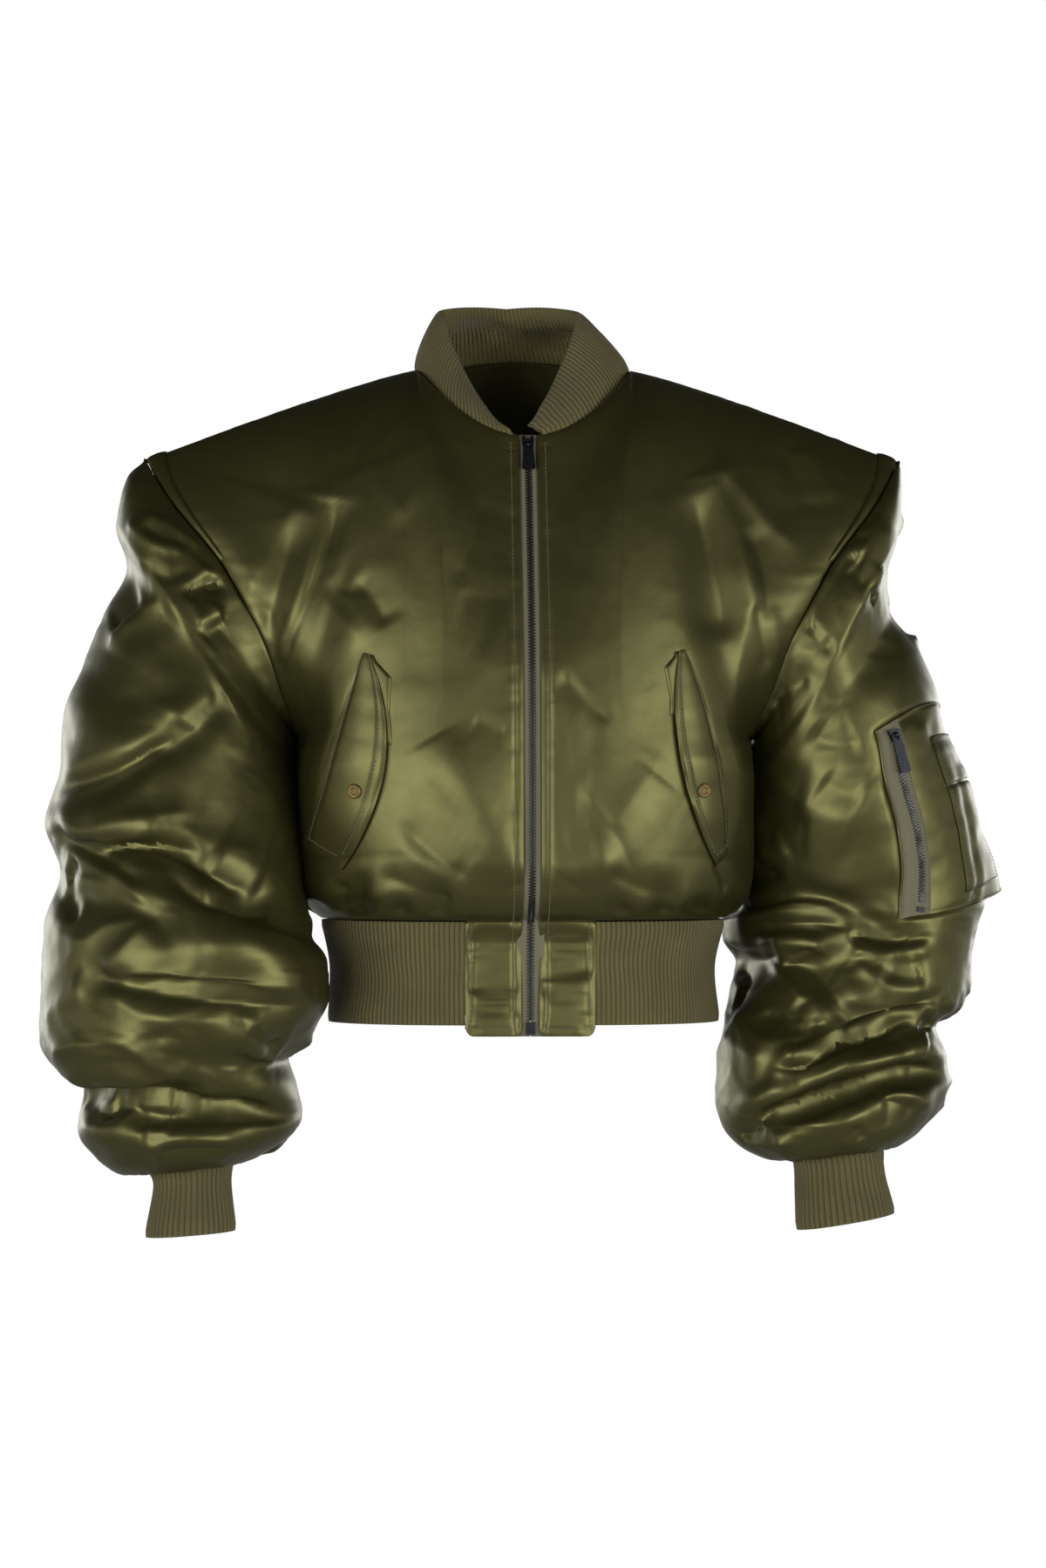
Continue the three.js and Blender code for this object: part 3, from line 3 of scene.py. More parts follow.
import bpy
import numpy as np
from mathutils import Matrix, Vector


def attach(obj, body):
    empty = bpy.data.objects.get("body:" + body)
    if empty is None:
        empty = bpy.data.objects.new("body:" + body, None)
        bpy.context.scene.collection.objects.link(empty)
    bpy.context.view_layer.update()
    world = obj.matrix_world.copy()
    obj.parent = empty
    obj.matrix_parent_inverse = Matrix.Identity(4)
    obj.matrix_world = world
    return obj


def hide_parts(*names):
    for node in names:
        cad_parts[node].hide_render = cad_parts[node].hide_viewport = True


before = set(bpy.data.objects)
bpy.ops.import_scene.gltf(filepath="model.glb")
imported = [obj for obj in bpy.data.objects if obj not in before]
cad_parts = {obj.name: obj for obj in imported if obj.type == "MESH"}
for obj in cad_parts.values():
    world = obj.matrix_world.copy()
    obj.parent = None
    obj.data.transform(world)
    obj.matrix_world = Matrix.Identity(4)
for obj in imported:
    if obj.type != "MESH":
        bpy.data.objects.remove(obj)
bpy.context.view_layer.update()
MM = 0.001


# Sizes of the cut, as in the solids.
def rows(names, values):
    return [dict(zip(names.split(), row)) for row in values]


NECK = dict(half=95, y=8, frontReach=88, backReach=62, frontDrop=62, backRise=12, fade=150, blend=0.86)
TIP = dict(x=332, y=5, z=-80)
SHOULDER_CURVE = 1.15
HEM_Z = -485
ARMPIT_Z = -328
ARMHOLE = dict(front=88, back=84, softFrom=0.12, nearFrom=0.7, power=0.8)
ZIP_HALF = 8
TAB = dict(edge=68, drop=99)
COLLAR_SHIFT = -12
COLLAR_END = 13
RIB = dict(hem=4.5, cuff=4.9, collar=4.4)
TURN = dict(low=88, high=2, start=0.3)
FLATNESS = 1.3
SHOULDER = dict(start=0.5, power=1.6, even=0.35)
SLEEVE_LEAD = dict(end=2, power=0.6)
TORSO = rows(
    "z half front back",
    [
        (-485, 180, 128, 116), (-478, 191, 140, 127), (-462, 201, 153, 139), (-435, 204, 160, 143),
        (-380, 203, 160, 138), (-328, 203, 158, 134), (-281, 217, 154, 134), (-243, 230, 150, 136),
        (-205, 249, 147, 137), (-168, 270, 144, 136), (-131, 300, 142, 134), (-105, 319, 140, 132),
        (-80, 332, 138, 130),
    ],
)
HEM_BAND = rows("drop half front back", [(0, 179, 127, 115), (45, 170, 122, 110), (89, 174, 124, 112)])
COLLAR = rows(
    "turn width lean",
    [
        (0, 4, 44), (8, 10, 44), (20, 28, 42), (45, 47, 39), (90, 59, 34), (135, 53, 20), (180, 46, 12),
    ],
)
RING = "s outX outZ inX inZ depth y slew"
RIGHT_SLEEVE = rows(
    RING,
    [
        (0, 332, -80, 203, -328, 88, 4, 0), (1, 358, -104, 210, -334, 97, 2, 0),
        (2, 358, -138, 208, -350, 102, 0, -4), (3, 348, -175, 206, -368, 104, 0, -12),
        (4, 369, -218, 205, -386, 108, -2, -18), (5, 387, -262, 204, -405, 112, -4, -22),
        (6, 404, -305, 203.5, -424, 114, -8, -26), (7, 407, -351, 203, -446, 114, -14, -28),
        (8, 419, -400, 201, -473, 113, -24, -30), (9, 404, -445, 192, -496, 108, -36, -30),
        (10, 420, -489, 176, -520, 114, -46, -34), (11, 422, -535, 172, -547, 116, -52, -34),
        (12, 423, -592, 190, -580, 112, -54, -26), (13, 410, -616, 213, -604, 102, -54, -16),
        (14, 386, -631, 201, -627, 96, -54, -8), (15, 388, -665, 194, -656, 98, -54, 0),
        (16, 374, -692, 215, -679, 84, -54, 0), (17, 351, -706, 243, -694, 56, -54, 0),
        (18, 331, -699, 254, -690, 37, -54, 0),
    ],
)
LEFT_SLEEVE = rows(
    RING,
    [
        (0, 332, -80, 203, -328, 88, 4, 0), (1, 335, -104, 210, -337, 95, 4, 2),
        (2, 333, -136, 208, -354, 98, 4, 6), (3, 322, -178, 206, -370, 98, 4, 12),
        (4, 325, -212, 205, -385, 98, 4, 18), (5, 350, -247, 204, -401, 102, 4, 22),
        (6, 365, -285, 203.5, -416, 105, 4, 26), (7, 374, -328, 203, -432, 107, 6, 28),
        (8, 391, -370, 201, -455, 108, 10, 34), (9, 403, -414, 196, -478, 108, 14, 42),
        (10, 411, -462, 180, -488, 108, 16, 52), (11, 403, -497, 183, -505, 105, 14, 52),
        (12, 396, -528, 196, -526, 98, 10, 46), (13, 388, -560, 188, -550, 102, 4, 40),
        (14, 366, -581, 180, -576, 98, -2, 32), (15, 375, -606, 173, -609, 102, -8, 22),
        (16, 377, -626, 172, -643, 100, -12, 14), (17, 364, -655, 179, -672, 90, -16, 8),
        (18, 344, -676, 199, -690, 74, -20, 4), (19, 326, -686, 219, -696, 54, -22, 0),
        (20, 316, -686, 236, -692, 37, -22, 0),
    ],
)
RIGHT_CUFF = rows(
    RING,
    [
        (0, 331, -699, 254, -690, 37, -54, 0), (1, 326, -716, 258, -712, 33, -55, 0),
        (2, 333, -760, 253, -754, 37, -60, 0),
    ],
)
LEFT_CUFF = rows(
    RING,
    [
        (0, 316, -686, 236, -692, 37, -22, 0), (1, 318, -706, 239, -712, 35, -23, 0),
        (2, 327, -743, 239, -758, 40, -28, 0),
    ],
)

# Large folds, as in the solids: a bowed line seen from the front, its reach, depth and roll.
FOLD = "face x1 z1 x2 z2 bow reach depth roll"
RIGHT_SLEEVE_FOLDS = rows(
    FOLD,
    [
        (-1, -432, -384, -262, -290, -10, 16, -9, 6), (-1, -432, -412, -225, -470, 22, 15, -10, 7),
        (-1, -415, -440, -180, -560, 30, 18, 8, -6), (-1, -385, -528, -172, -545, 10, 16, -10, 7),
        (-1, -425, -625, -190, -652, -8, 14, -13, 8), (1, -425, -420, -220, -450, 18, 16, -10, 6),
        (1, -425, -530, -190, -520, -14, 16, -10, 6), (1, -420, -620, -195, -645, 10, 14, -12, 7),
    ],
)
LEFT_SLEEVE_FOLDS = rows(
    FOLD,
    [
        (-1, 196, -452, 330, -505, 14, 13, -8, 5), (-1, 240, -520, 285, -590, 6, 12, -7, 0),
        (-1, 230, -600, 372, -560, 10, 13, -12, -8), (-1, 205, -668, 384, -622, 16, 13, -11, -7),
        (1, 190, -500, 400, -470, -12, 14, -9, 6), (1, 185, -585, 380, -575, 10, 14, -11, 7),
        (1, 190, -655, 375, -640, 8, 13, -10, 6),
    ],
)
RIGHT_FRONT_FOLDS = rows(
    FOLD, [(-1, -172, -118, -205, -332, 14, 27, -8.5, 5), (-1, -92, -330, -20, -455, 8, 24, 5, 3)]
)
LEFT_FRONT_FOLDS = rows(
    FOLD, [(-1, 150, -100, 196, -330, -16, 26, -9, -5), (-1, 110, -360, 40, -455, 6, 26, 5, 0)]
)
BACK_FOLDS = rows(
    FOLD,
    [
        (1, -160, -110, -200, -330, 14, 28, -10, 5), (1, 160, -110, 200, -330, -14, 28, -10, -5),
        (1, -120, -300, 130, -340, -18, 26, 6, 3),
    ],
)
GATHERS = rows(
    "face x height reach depth",
    [
        (-1, -186, 34, 13, 5), (-1, -150, 48, 12, 7), (-1, -112, 30, 12, 5), (-1, -80, 40, 11, 5),
        (-1, 78, 36, 12, 5), (-1, 116, 44, 12, 6), (-1, 152, 30, 12, 5), (-1, 184, 40, 13, 5),
        (1, -176, 38, 13, 6), (1, -132, 46, 14, 6), (1, -84, 34, 13, 5), (1, -36, 44, 14, 6),
        (1, 14, 36, 13, 5), (1, 62, 46, 14, 6), (1, 112, 36, 13, 5), (1, 160, 42, 13, 6),
    ],
)

# Flaps, welts, tucks and the sleeve pocket, as in the solids.
RIGHT_FLAP = dict(
    area=0.0094,
    sewn=dict(x1=145, z1=-253, x2=193, z2=-418, bow=3),
    free=dict(x1=139, z1=-255, x2=161, z2=-440, bow=-25),
    welt=dict(x=121, end=0.42, area=0.00072),
)
LEFT_FLAP = dict(
    area=0.0062,
    sewn=dict(x1=132, z1=-250, x2=170, z2=-425, bow=10),
    free=dict(x1=126, z1=-252, x2=160, z2=-437, bow=-17),
    welt=dict(x=114, end=0.3, area=0.00055),
)
TUCK = dict(top=18, end=5, endAngle=75)
POCKET = dict(s_top=(5.55, 6.45), s_low=(10.45, 10.0), phi=(75, -15), lift=0.9, corner=19)

# Folds given one by one. A row has its kind (r is a ridge and v a valley), depth, width and roll, and after
# the colon the points of its line, x and z as seen from the front.
def crease_rows(text):
    table = []
    for row in text.strip().splitlines():
        form, line = row.split(":")
        kind, *sizes = form.split()
        points = [tuple(map(float, point.split())) for point in line.split(",")]
        table.append((kind, *map(float, sizes), points))
    return table


RIGHT_SLEEVE_CREASES = crease_rows("""
r 4.5 14 0: -405 -335, -395 -352, -384 -359, -361 -350, -338 -338, -315 -321, -304 -302, -288 -279
r 2.5 10 0: -305 -317, -293 -298, -270 -289
v 5 9 0: -409 -375, -386 -364, -356 -354, -329 -338, -307 -323
r 4.5 13 0: -415 -395, -400 -384, -382 -375, -356 -363, -329 -347, -307 -331, -284 -309, -265 -288
r 4.5 7 0: -413 -397, -395 -406, -381 -408, -361 -400, -336 -396, -307 -391, -291 -390
r 4 6 0: -378 -421, -356 -414, -332 -409, -318 -400
v 6 8 0: -377 -425, -347 -421, -311 -421, -282 -424
r 5 8 0: -419 -406, -404 -420, -390 -427, -377 -434, -361 -441, -347 -452, -329 -468, -320 -480
v 6 8 0: -414 -400, -400 -411, -377 -425, -356 -436, -329 -456
v 5 6 0: -389 -432, -399 -451
r 4 7 0: -320 -480, -343 -484, -365 -489, -377 -497, -393 -504, -416 -486
r 5 9 0: -320 -481, -336 -497, -350 -506, -361 -520, -365 -529
v 4 8 0: -400 -454, -390 -472, -395 -486
r 6 8 0: -365 -426, -340 -424, -322 -429, -307 -434, -293 -447, -282 -461, -272 -470
v 7 10 0: -322 -434, -302 -451, -284 -466, -257 -476, -206 -481
r 4.5 16 0: -282 -432, -257 -445, -234 -459
r 5 12 0: -311 -470, -268 -477, -247 -488, -222 -497, -199 -507, -181 -522
r 6.5 9 0: -365 -532, -347 -529, -320 -526, -293 -529, -266 -534, -231 -539, -204 -543, -184 -541
v 7 10 0: -365 -535, -329 -543, -275 -550, -222 -554, -188 -553
r 5 9 0: -366 -535, -357 -549, -343 -558, -325 -565, -302 -568, -279 -568, -257 -566
r 4 10 0: -419 -575, -404 -554, -377 -536
r 5 7 0: -259 -570, -243 -590, -231 -600, -217 -600
r 4 6 0: -257 -570, -249 -563, -238 -567, -231 -579, -220 -588
v 7 7 0: -247 -577, -232 -588, -215 -591
v 3.5 12 0: -322 -574, -318 -591, -304 -611
r 5 7 0: -409 -611, -409 -597, -400 -593, -382 -589, -361 -585, -347 -587, -332 -599, -320 -608, -311 -613
r 5 7 0: -408 -611, -390 -616, -377 -621, -356 -621, -329 -618, -311 -613
v 13 9 8: -389 -633, -379 -629, -359 -627, -329 -629, -307 -631, -284 -640, -257 -641, -231 -645, -196 -653
r 4 14 0: -336 -643, -318 -638, -300 -643
v 5 5 0: -350 -630, -360 -643, -355 -650, -365 -654, -386 -640
r 4 6 0: -389 -659, -377 -664, -361 -661, -343 -650, -336 -634
v 2.5 5 0: -340 -661, -325 -659, -309 -657
v 2.5 5 0: -338 -665, -325 -669, -309 -671
r 4 7 0: -341 -674, -329 -678, -311 -672, -284 -670, -266 -674, -245 -670
v 4 6 0: -322 -683, -302 -678, -275 -678, -256 -681
r 4.5 6 0: -349 -134, -340 -145, -326 -157, -311 -162, -296 -164
r 3.5 5 0: -335 -132, -324 -136, -308 -145, -293 -154, -283 -159
v 3.5 6 0: -337 -140, -323 -150, -309 -156, -288 -160
v 3 8 0: -337 -171, -326 -184, -311 -190, -298 -184, -280 -176
r 3 7 0: -318 -196, -298 -195, -283 -184, -275 -176
v 5 7 0: -298 -206, -288 -195, -278 -190, -261 -191
v 3 5 0: -281 -196, -271 -195, -261 -193
r 3 5 0: -281 -210, -273 -214, -264 -220
r 3.5 6 0: -291 -226, -278 -223, -264 -221
r 5 10 0: -365 -252, -355 -235, -343 -223, -326 -210, -315 -205
v 5 12 0: -362 -230, -352 -219, -333 -203
v 3 8 0: -283 -242, -273 -230, -265 -225
""")
LEFT_SLEEVE_CREASES = crease_rows("""
v 3 6 0: 229 -216, 248 -234, 271 -257
v 2.5 12 0: 211 -299, 225 -284, 248 -274
v 2.5 14 0: 233 -263, 256 -278, 267 -307
v 3 14 0: 244 -319, 267 -334, 291 -328
v 2.5 16 0: 256 -361, 271 -373, 294 -381
r 2.5 16 0: 233 -381, 263 -392, 291 -405
v 2.5 16 0: 205 -408, 229 -400, 248 -404
r 3 8 0: 205 -433, 221 -433, 231 -423
v 4 8 0: 204 -433, 221 -441, 225 -450
r 5 8 0: 176 -464, 205 -464, 223 -458, 240 -443
r 5 7 0: 192 -479, 205 -483, 225 -477, 246 -472, 267 -475, 291 -491
v 5 10 0: 194 -485, 225 -489, 256 -487, 287 -495
r 5 7 0: 207 -509, 225 -499, 240 -497, 256 -503, 263 -511, 252 -516
r 3.5 6 0: 219 -507, 240 -506, 262 -511
v 5 8 0: 192 -495, 211 -497, 240 -493, 267 -497
r 5 7 0: 205 -515, 223 -526, 234 -542, 244 -561, 257 -580
v 7 8 0: 176 -507, 194 -520, 213 -524, 229 -513
v 5 7 0: 281 -501, 291 -498, 312 -505, 341 -504, 358 -497
r 4.5 8 0: 283 -503, 294 -513, 314 -510, 341 -510, 356 -502
r 5 9 0: 289 -516, 298 -532, 316 -544, 341 -547, 352 -542
v 4 14 0: 310 -528, 333 -538, 352 -536
v 6 6 0: 186 -528, 198 -532, 202 -544, 190 -553, 191 -565
r 5 7 0: 189 -565, 190 -576, 200 -588, 211 -594, 233 -592, 256 -582
v 3 10 0: 205 -569, 225 -573, 244 -571
v 4 6 0: 240 -553, 248 -567, 258 -581
r 4 10 0: 178 -584, 186 -596, 198 -603, 213 -611
v 12 9 7: 213 -613, 233 -613, 252 -598, 279 -586, 312 -576, 347 -570
r 4 6 0: 213 -613, 221 -618, 238 -617, 256 -607, 283 -592, 300 -585
v 6 7 0: 345 -569, 354 -574, 352 -584
r 4 16 0: 325 -592, 341 -588, 350 -596
v 12 9 7: 182 -673, 202 -655, 225 -646, 256 -634, 287 -623, 318 -615, 349 -613, 370 -620
r 5 8 0: 291 -648, 306 -632, 321 -632, 341 -642, 358 -653
v 6 8 0: 306 -644, 325 -644, 341 -652
r 4 7 0: 204 -660, 225 -661, 248 -661, 271 -661, 294 -650
v 4 5 0: 186 -671, 194 -679, 202 -660
r 4 6 0: 205 -661, 219 -673, 223 -685
v 3 5 0: 283 -663, 292 -675
r 3 4 0: 289 -133, 299 -126, 307 -119
v 3 5 0: 290 -137, 301 -129, 312 -122
r 3 5 0: 275 -148, 284 -144, 296 -144
v 3 4 0: 276 -151, 289 -150, 301 -151
r 3 5 0: 275 -162, 284 -163, 294 -167
v 4 9 0: 273 -167, 286 -172, 294 -171
v 3 5 0: 278 -178, 286 -185, 295 -195
r 3 6 0: 301 -199, 307 -186, 311 -176
v 4 5 0: 300 -200, 306 -207
v 2.5 8 0: 233 -225, 241 -219, 251 -219
r 2.5 7 0: 236 -227, 246 -234, 261 -245
""")
RIGHT_FRONT_CREASES = crease_rows("""
r 4.5 16 0: -195 -108, -210 -141, -232 -179, -247 -216
r 4 13 0: -195 -108, -186 -141, -193 -201, -202 -246, -217 -284
v 5 16 0: -202 -134, -216 -186, -232 -246, -238 -291
v 3 6 0: -163 -111, -178 -171, -198 -224, -219 -280
r 2.6 11 0: -157 -182, -175 -188, -178 -209, -157 -227, -139 -250
v 2.5 9 0: -154 -188, -135 -209, -124 -231
v 1.2 14 0: -67 -203, -37 -207, -13 -203
r 1.8 20 0: -98 -340, -75 -370, -49 -407, -24 -442
v 1.2 8 0: -52 -308, -37 -317, -21 -323
v 2 8 0: -116 -396, -82 -430, -52 -448
v 3 7 0: -161 -448, -159 -463, -160 -478
r 3 12 0: -198 -448, -178 -467, -163 -484
r 2.5 14 0: -146 -456, -120 -468, -90 -475
v 2.5 9 0: -135 -441, -97 -457, -64 -467
r 2 14 0: -105 -141, -127 -111, -135 -81
v 1.5 12 0: -37 -111, -49 -156, -67 -201
""")
LEFT_FRONT_CREASES = crease_rows("""
r 4.5 14 0: 150 -91, 161 -111, 176 -141, 186 -171, 191 -221
r 3.5 11 0: 152 -87, 175 -100, 197 -125, 214 -145, 246 -168
v 4 14 0: 139 -111, 154 -156, 165 -209, 169 -246
v 3 10 0: 188 -141, 203 -179, 209 -231
r 2.5 10 0: 240 -66, 257 -87, 270 -122
v 2 12 0: 218 -66, 240 -100, 251 -134
v 2.5 8 0: 194 -209, 203 -239, 210 -269
r 2.5 9 0: 206 -179, 192 -216, 180 -261, 177 -314
v 2 6 0: 23 -269, 41 -291, 68 -314
v 2 10 0: 38 -366, 68 -403, 90 -448
r 2.2 14 0: 113 -336, 90 -373, 60 -411
v 2.5 9 0: 60 -441, 98 -457, 135 -463
r 2.5 14 0: 68 -467, 101 -471, 143 -467
v 3 7 0: 159 -430, 169 -448, 171 -463
""")
BACK_CREASES = crease_rows("""
v 4 14 0: -262 -150, -225 -215, -200 -290
r 3.5 12 0: -285 -140, -250 -200, -228 -260
r 4 15 0: -220 -120, -170 -190, -150 -280, -162 -360
v 3.5 10 0: -180 -110, -130 -180, -110 -260
v 4.5 13 0: 268 -158, 232 -220, 203 -300
r 3.5 12 0: 290 -150, 255 -205, 235 -270
r 4 16 0: 205 -105, 165 -170, 148 -250, 158 -340
v 3 10 0: 150 -95, 118 -160, 105 -235
v 2.5 16 0: -120 -70, -50 -92, 30 -95, 110 -78
r 2.5 18 0: -90 -215, -20 -232, 60 -226, 120 -205
r 3 15 0: -130 -330, -70 -375, -20 -430
v 3 12 0: -100 -330, -55 -362, 10 -380
r 3 15 0: 120 -320, 80 -370, 40 -440
v 2.5 12 0: 150 -360, 110 -400, 90 -450
v 3 9 0: -172 -420, -150 -450, -140 -475
v 3 9 0: 165 -415, 140 -448, 132 -474
r 3 13 0: -60 -420, 0 -452, 50 -446
""")


def lerp(a, b, t):
    return a + (b - a) * t


def smooth(t):
    t = np.clip(t, 0, 1)
    return t * t * (3 - 2 * t)


def unit(v):
    return v / np.maximum(np.linalg.norm(v, axis=-1, keepdims=True), 1e-9)


def reader(table, key):
    """A table read at any value of its key column, on a curve that never overshoots a row."""
    at = np.array([r[key] for r in table], float)
    columns = {n: np.array([r[n] for r in table], float) for n in table[0] if n != key}
    slopes = {}
    for n, c in columns.items():
        rise = np.diff(c) / np.diff(at)
        slope = np.empty(len(c))
        slope[0], slope[-1] = rise[0], rise[-1]
        both = rise[:-1] * rise[1:]
        total = np.where(both > 0, rise[:-1] + rise[1:], 1)
        slope[1:-1] = np.where(both > 0, 2 * both / total, 0)
        slopes[n] = slope

    def read(value):
        value = np.asarray(value, float)
        i = np.clip(np.searchsorted(at, value, side="right") - 1, 0, len(at) - 2)
        h = at[i + 1] - at[i]
        t = np.clip((value - at[i]) / h, 0, 1)
        out = {}
        for n, c in columns.items():
            m = slopes[n]
            out[n] = (
                (2 * t**3 - 3 * t**2 + 1) * c[i]
                + (t**3 - 2 * t**2 + t) * h * m[i]
                + (3 * t**2 - 2 * t**3) * c[i + 1]
                + (t**3 - t**2) * h * m[i + 1]
            )
        return out

    return read


torso_at = reader(TORSO, "z")
hem_at = reader(HEM_BAND, "drop")
collar_at = reader(COLLAR, "turn")


def hashed(i, seed):
    """A number from -1 to 1 for each cell of whole numbers, mixed by large odd factors and shifts."""
    h = (i[..., 0] * 374761393 + i[..., 1] * 668265263 + i[..., 2] * 1440662683 + seed * 97531) & 0xFFFFFFFF
    h = ((h ^ (h >> 13)) * 1274126177) & 0xFFFFFFFF
    h = ((h ^ (h >> 16)) * 2246822519) & 0xFFFFFFFF
    return ((h ^ (h >> 15)) & 0xFFFFFF) / 0x7FFFFF - 1


def noise(p, seed):
    """Smooth seeded noise of points, about -1 to 1."""
    p = np.asarray(p, float)
    cell = np.floor(p).astype(np.int64)
    f = p - cell
    f = f * f * f * (f * (f * 6 - 15) + 10)
    total = 0
    for dx in (0, 1):
        for dy in (0, 1):
            for dz in (0, 1):
                w = (
                    (f[..., 0] if dx else 1 - f[..., 0])
                    * (f[..., 1] if dy else 1 - f[..., 1])
                    * (f[..., 2] if dz else 1 - f[..., 2])
                )
                total = total + w * hashed(cell + np.array([dx, dy, dz]), seed)
    return total


def noise_at(x, y, z, seed):
    return noise(np.stack(np.broadcast_arrays(x, y, z), -1), seed)


def line_noise(x, seed):
    return noise_at(np.asarray(x, float), 0.5, 0.5, seed)


def ring_noise(phi, size, seed, third=0.5):
    """Noise that closes on itself round a tube."""
    turn = np.radians(phi)
    return noise_at(np.cos(turn) * size, np.sin(turn) * size, third + 0 * phi, seed)


def bell(x, centre, width):
    return np.exp(-(((x - centre) / width) ** 2))


def faded(t, start, end):
    """1 inside, and falling to 0 over the first and last share of the way."""
    return smooth(t / start) * smooth((1 - t) / end)


def edge_point(edge, t):
    """The x and z of a bowed edge, a share t of the way along it."""
    return lerp(edge["x1"], edge["x2"], t) + edge["bow"] * 4 * t * (1 - t), lerp(edge["z1"], edge["z2"], t)


# Surfaces of the cut.
def top_edge(face, x):
    """The y and z of the neckline and shoulder seam."""
    k = np.clip(1 - (x / NECK["half"]) ** 2, 0, 1)
    r = np.clip((x - NECK["half"]) / (TIP["x"] - NECK["half"]), 0, 1)
    if face < 0:
        y, z = NECK["y"] - NECK["frontReach"] * np.sqrt(k), -NECK["frontDrop"] * k
    else:
        y, z = NECK["y"] + NECK["backReach"] * np.sqrt(k), NECK["backRise"] * k
    inside = x < NECK["half"]
    return (
        np.where(inside, y, lerp(NECK["y"], TIP["y"], r)),
        np.where(inside, z, TIP["z"] * r**SHOULDER_CURVE),
    )


def torso(face, u, v):
    """A front (face -1) or the back (face 1): u runs out from the middle and v up from the hem seam."""
    inner = ZIP_HALF if face < 0 else 0
    u, v = np.broadcast_arrays(np.asarray(u, float), np.asarray(v, float))
    top_y, top_z = top_edge(face, lerp(inner, TIP["x"], u))
    level = torso_at(lerp(HEM_Z, TIP["z"], v))
    turn = np.radians(
        np.where(
            v < TURN["start"],
            TURN["low"],
            lerp(TURN["low"], TURN["high"], (v - TURN["start"]) / (1 - TURN["start"])),
        )
    )
    x = inner + (level["half"] - inner) * np.sin(turn * u) / np.sin(turn)
    w = np.clip((lerp(HEM_Z, TIP["z"], v) - ARMPIT_Z) / (TIP["z"] - ARMPIT_Z), 0, 1)
    soft = np.clip((v - ARMHOLE["softFrom"]) / (1 - ARMHOLE["softFrom"]), 0, 1)
    near = smooth((u - ARMHOLE["nearFrom"]) / (1 - ARMHOLE["nearFrom"]))
    rim = lerp(np.sin(np.pi * soft ** ARMHOLE["power"]), np.sqrt(4 * w * (1 - w)), near)
    edge_y = face * (ARMHOLE["front"] if face < 0 else ARMHOLE["back"]) * rim
    middle_y = face * level["front" if face < 0 else "back"]
    turned = ((1 - np.cos(turn * u)) / (1 - np.cos(turn))) ** FLATNESS
    full = lerp(middle_y, edge_y, turned)
    p = np.clip((v - SHOULDER["start"]) / (1 - SHOULDER["start"]), 0, 1)
    fall = 1 - p ** SHOULDER["power"]
    reach = lerp(fall, np.sqrt(np.maximum(0, 1 - p * p)), smooth(u / SHOULDER["even"]))
    depth = face * (NECK["frontReach"] if face < 0 else NECK["backReach"])
    even = NECK["y"] + depth * (1 - smooth(x / NECK["fade"]))
    top_y = lerp(even, top_y, smooth((v - NECK["blend"]) / (1 - NECK["blend"])))
    return np.stack([x, lerp(top_y, full, reach), lerp(HEM_Z, top_z, v)], -1)


def tab_point(u, drop):
    """The tab beside the zip, drop going from 0 at the hem seam to 1 at its lower edge."""
    p = torso(-1, u, drop * 0)
    p[..., 1] += HEM_BAND[0]["front"] - hem_at(drop * TAB["drop"])["front"]
    p[..., 2] = HEM_Z - drop * TAB["drop"]
    return p


def front_surface(u, v):
    """A front with its tab, which goes on below the hem seam where v is under 0."""
    return np.where((v < 0)[..., None], tab_point(u, np.maximum(0, -v)), torso(-1, u, np.maximum(0, v)))


HALVINGS = 26


def front_at(x, z):
    """The u and v of the front's point at x and z, found by halving."""
    low, high = np.zeros_like(x), np.ones_like(x)
    for _ in range(HALVINGS):
        u = (low + high) / 2
        v = np.clip((z - HEM_Z) / (top_edge(-1, lerp(ZIP_HALF, TIP["x"], u))[1] - HEM_Z), 0, 1)
        short = torso(-1, u, v)[..., 0] < x
        low, high = np.where(short, u, low), np.where(short, high, u)
    return (low + high) / 2, v


def ring(row, phi):
    """A section of a sleeve: phi is 0 on the outside, 90 at the front and 180 at the underarm."""
    c, s = np.cos(np.radians(phi)), np.sin(np.radians(phi))
    across = (1 - c) / 2
    return np.stack(
        [
            lerp(row["outX"], row["inX"], across),
            row["y"] + row["slew"] * across - row["depth"] * s,
            lerp(row["outZ"], row["inZ"], across),
        ],
        -1,
    )


ARMPIT_V = (ARMPIT_Z - HEM_Z) / (TIP["z"] - HEM_Z)


def armhole_level(phi):
    return lerp(ARMPIT_V, 1, (1 + np.cos(np.radians(phi))) / 2)


def armhole(phi):
    """The armhole seam, which a sleeve starts from."""
    level = armhole_level(phi)
    one = np.ones_like(level)
    front = (np.sin(np.radians(phi)) >= 0)[..., None]
    return np.where(front, torso(-1, one, level), torso(1, one, level))


def sleeve_surface(table, s, phi):
    free = ring(reader(table, "s")(s), phi)
    share = np.clip(s / SLEEVE_LEAD["end"], 0, 1) ** SLEEVE_LEAD["power"]
    led = lerp(armhole(phi), free, share[..., None])
    return np.where((s < SLEEVE_LEAD["end"])[..., None], led, free)


GATHER_START = 8


def fold_height(folds, x, z, face):
    """The large folds that the solids have too."""
    total = np.zeros_like(x)
    for f in folds:
        dx, dz = f["x2"] - f["x1"], f["z2"] - f["z1"]
        length = math.hypot(dx, dz)
        t = np.clip(((x - f["x1"]) * dx + (z - f["z1"]) * dz) / length**2, 0, 1)
        off = ((z - f["z1"]) * dx - (x - f["x1"]) * dz) / length - f["bow"] * 4 * t * (1 - t)
        q = off / f["reach"]
        here = (f["depth"] + f["roll"] * q) * np.exp(-q * q) * np.sqrt(4 * t * (1 - t))
        total += np.where(face == f["face"], here, 0)
    return total


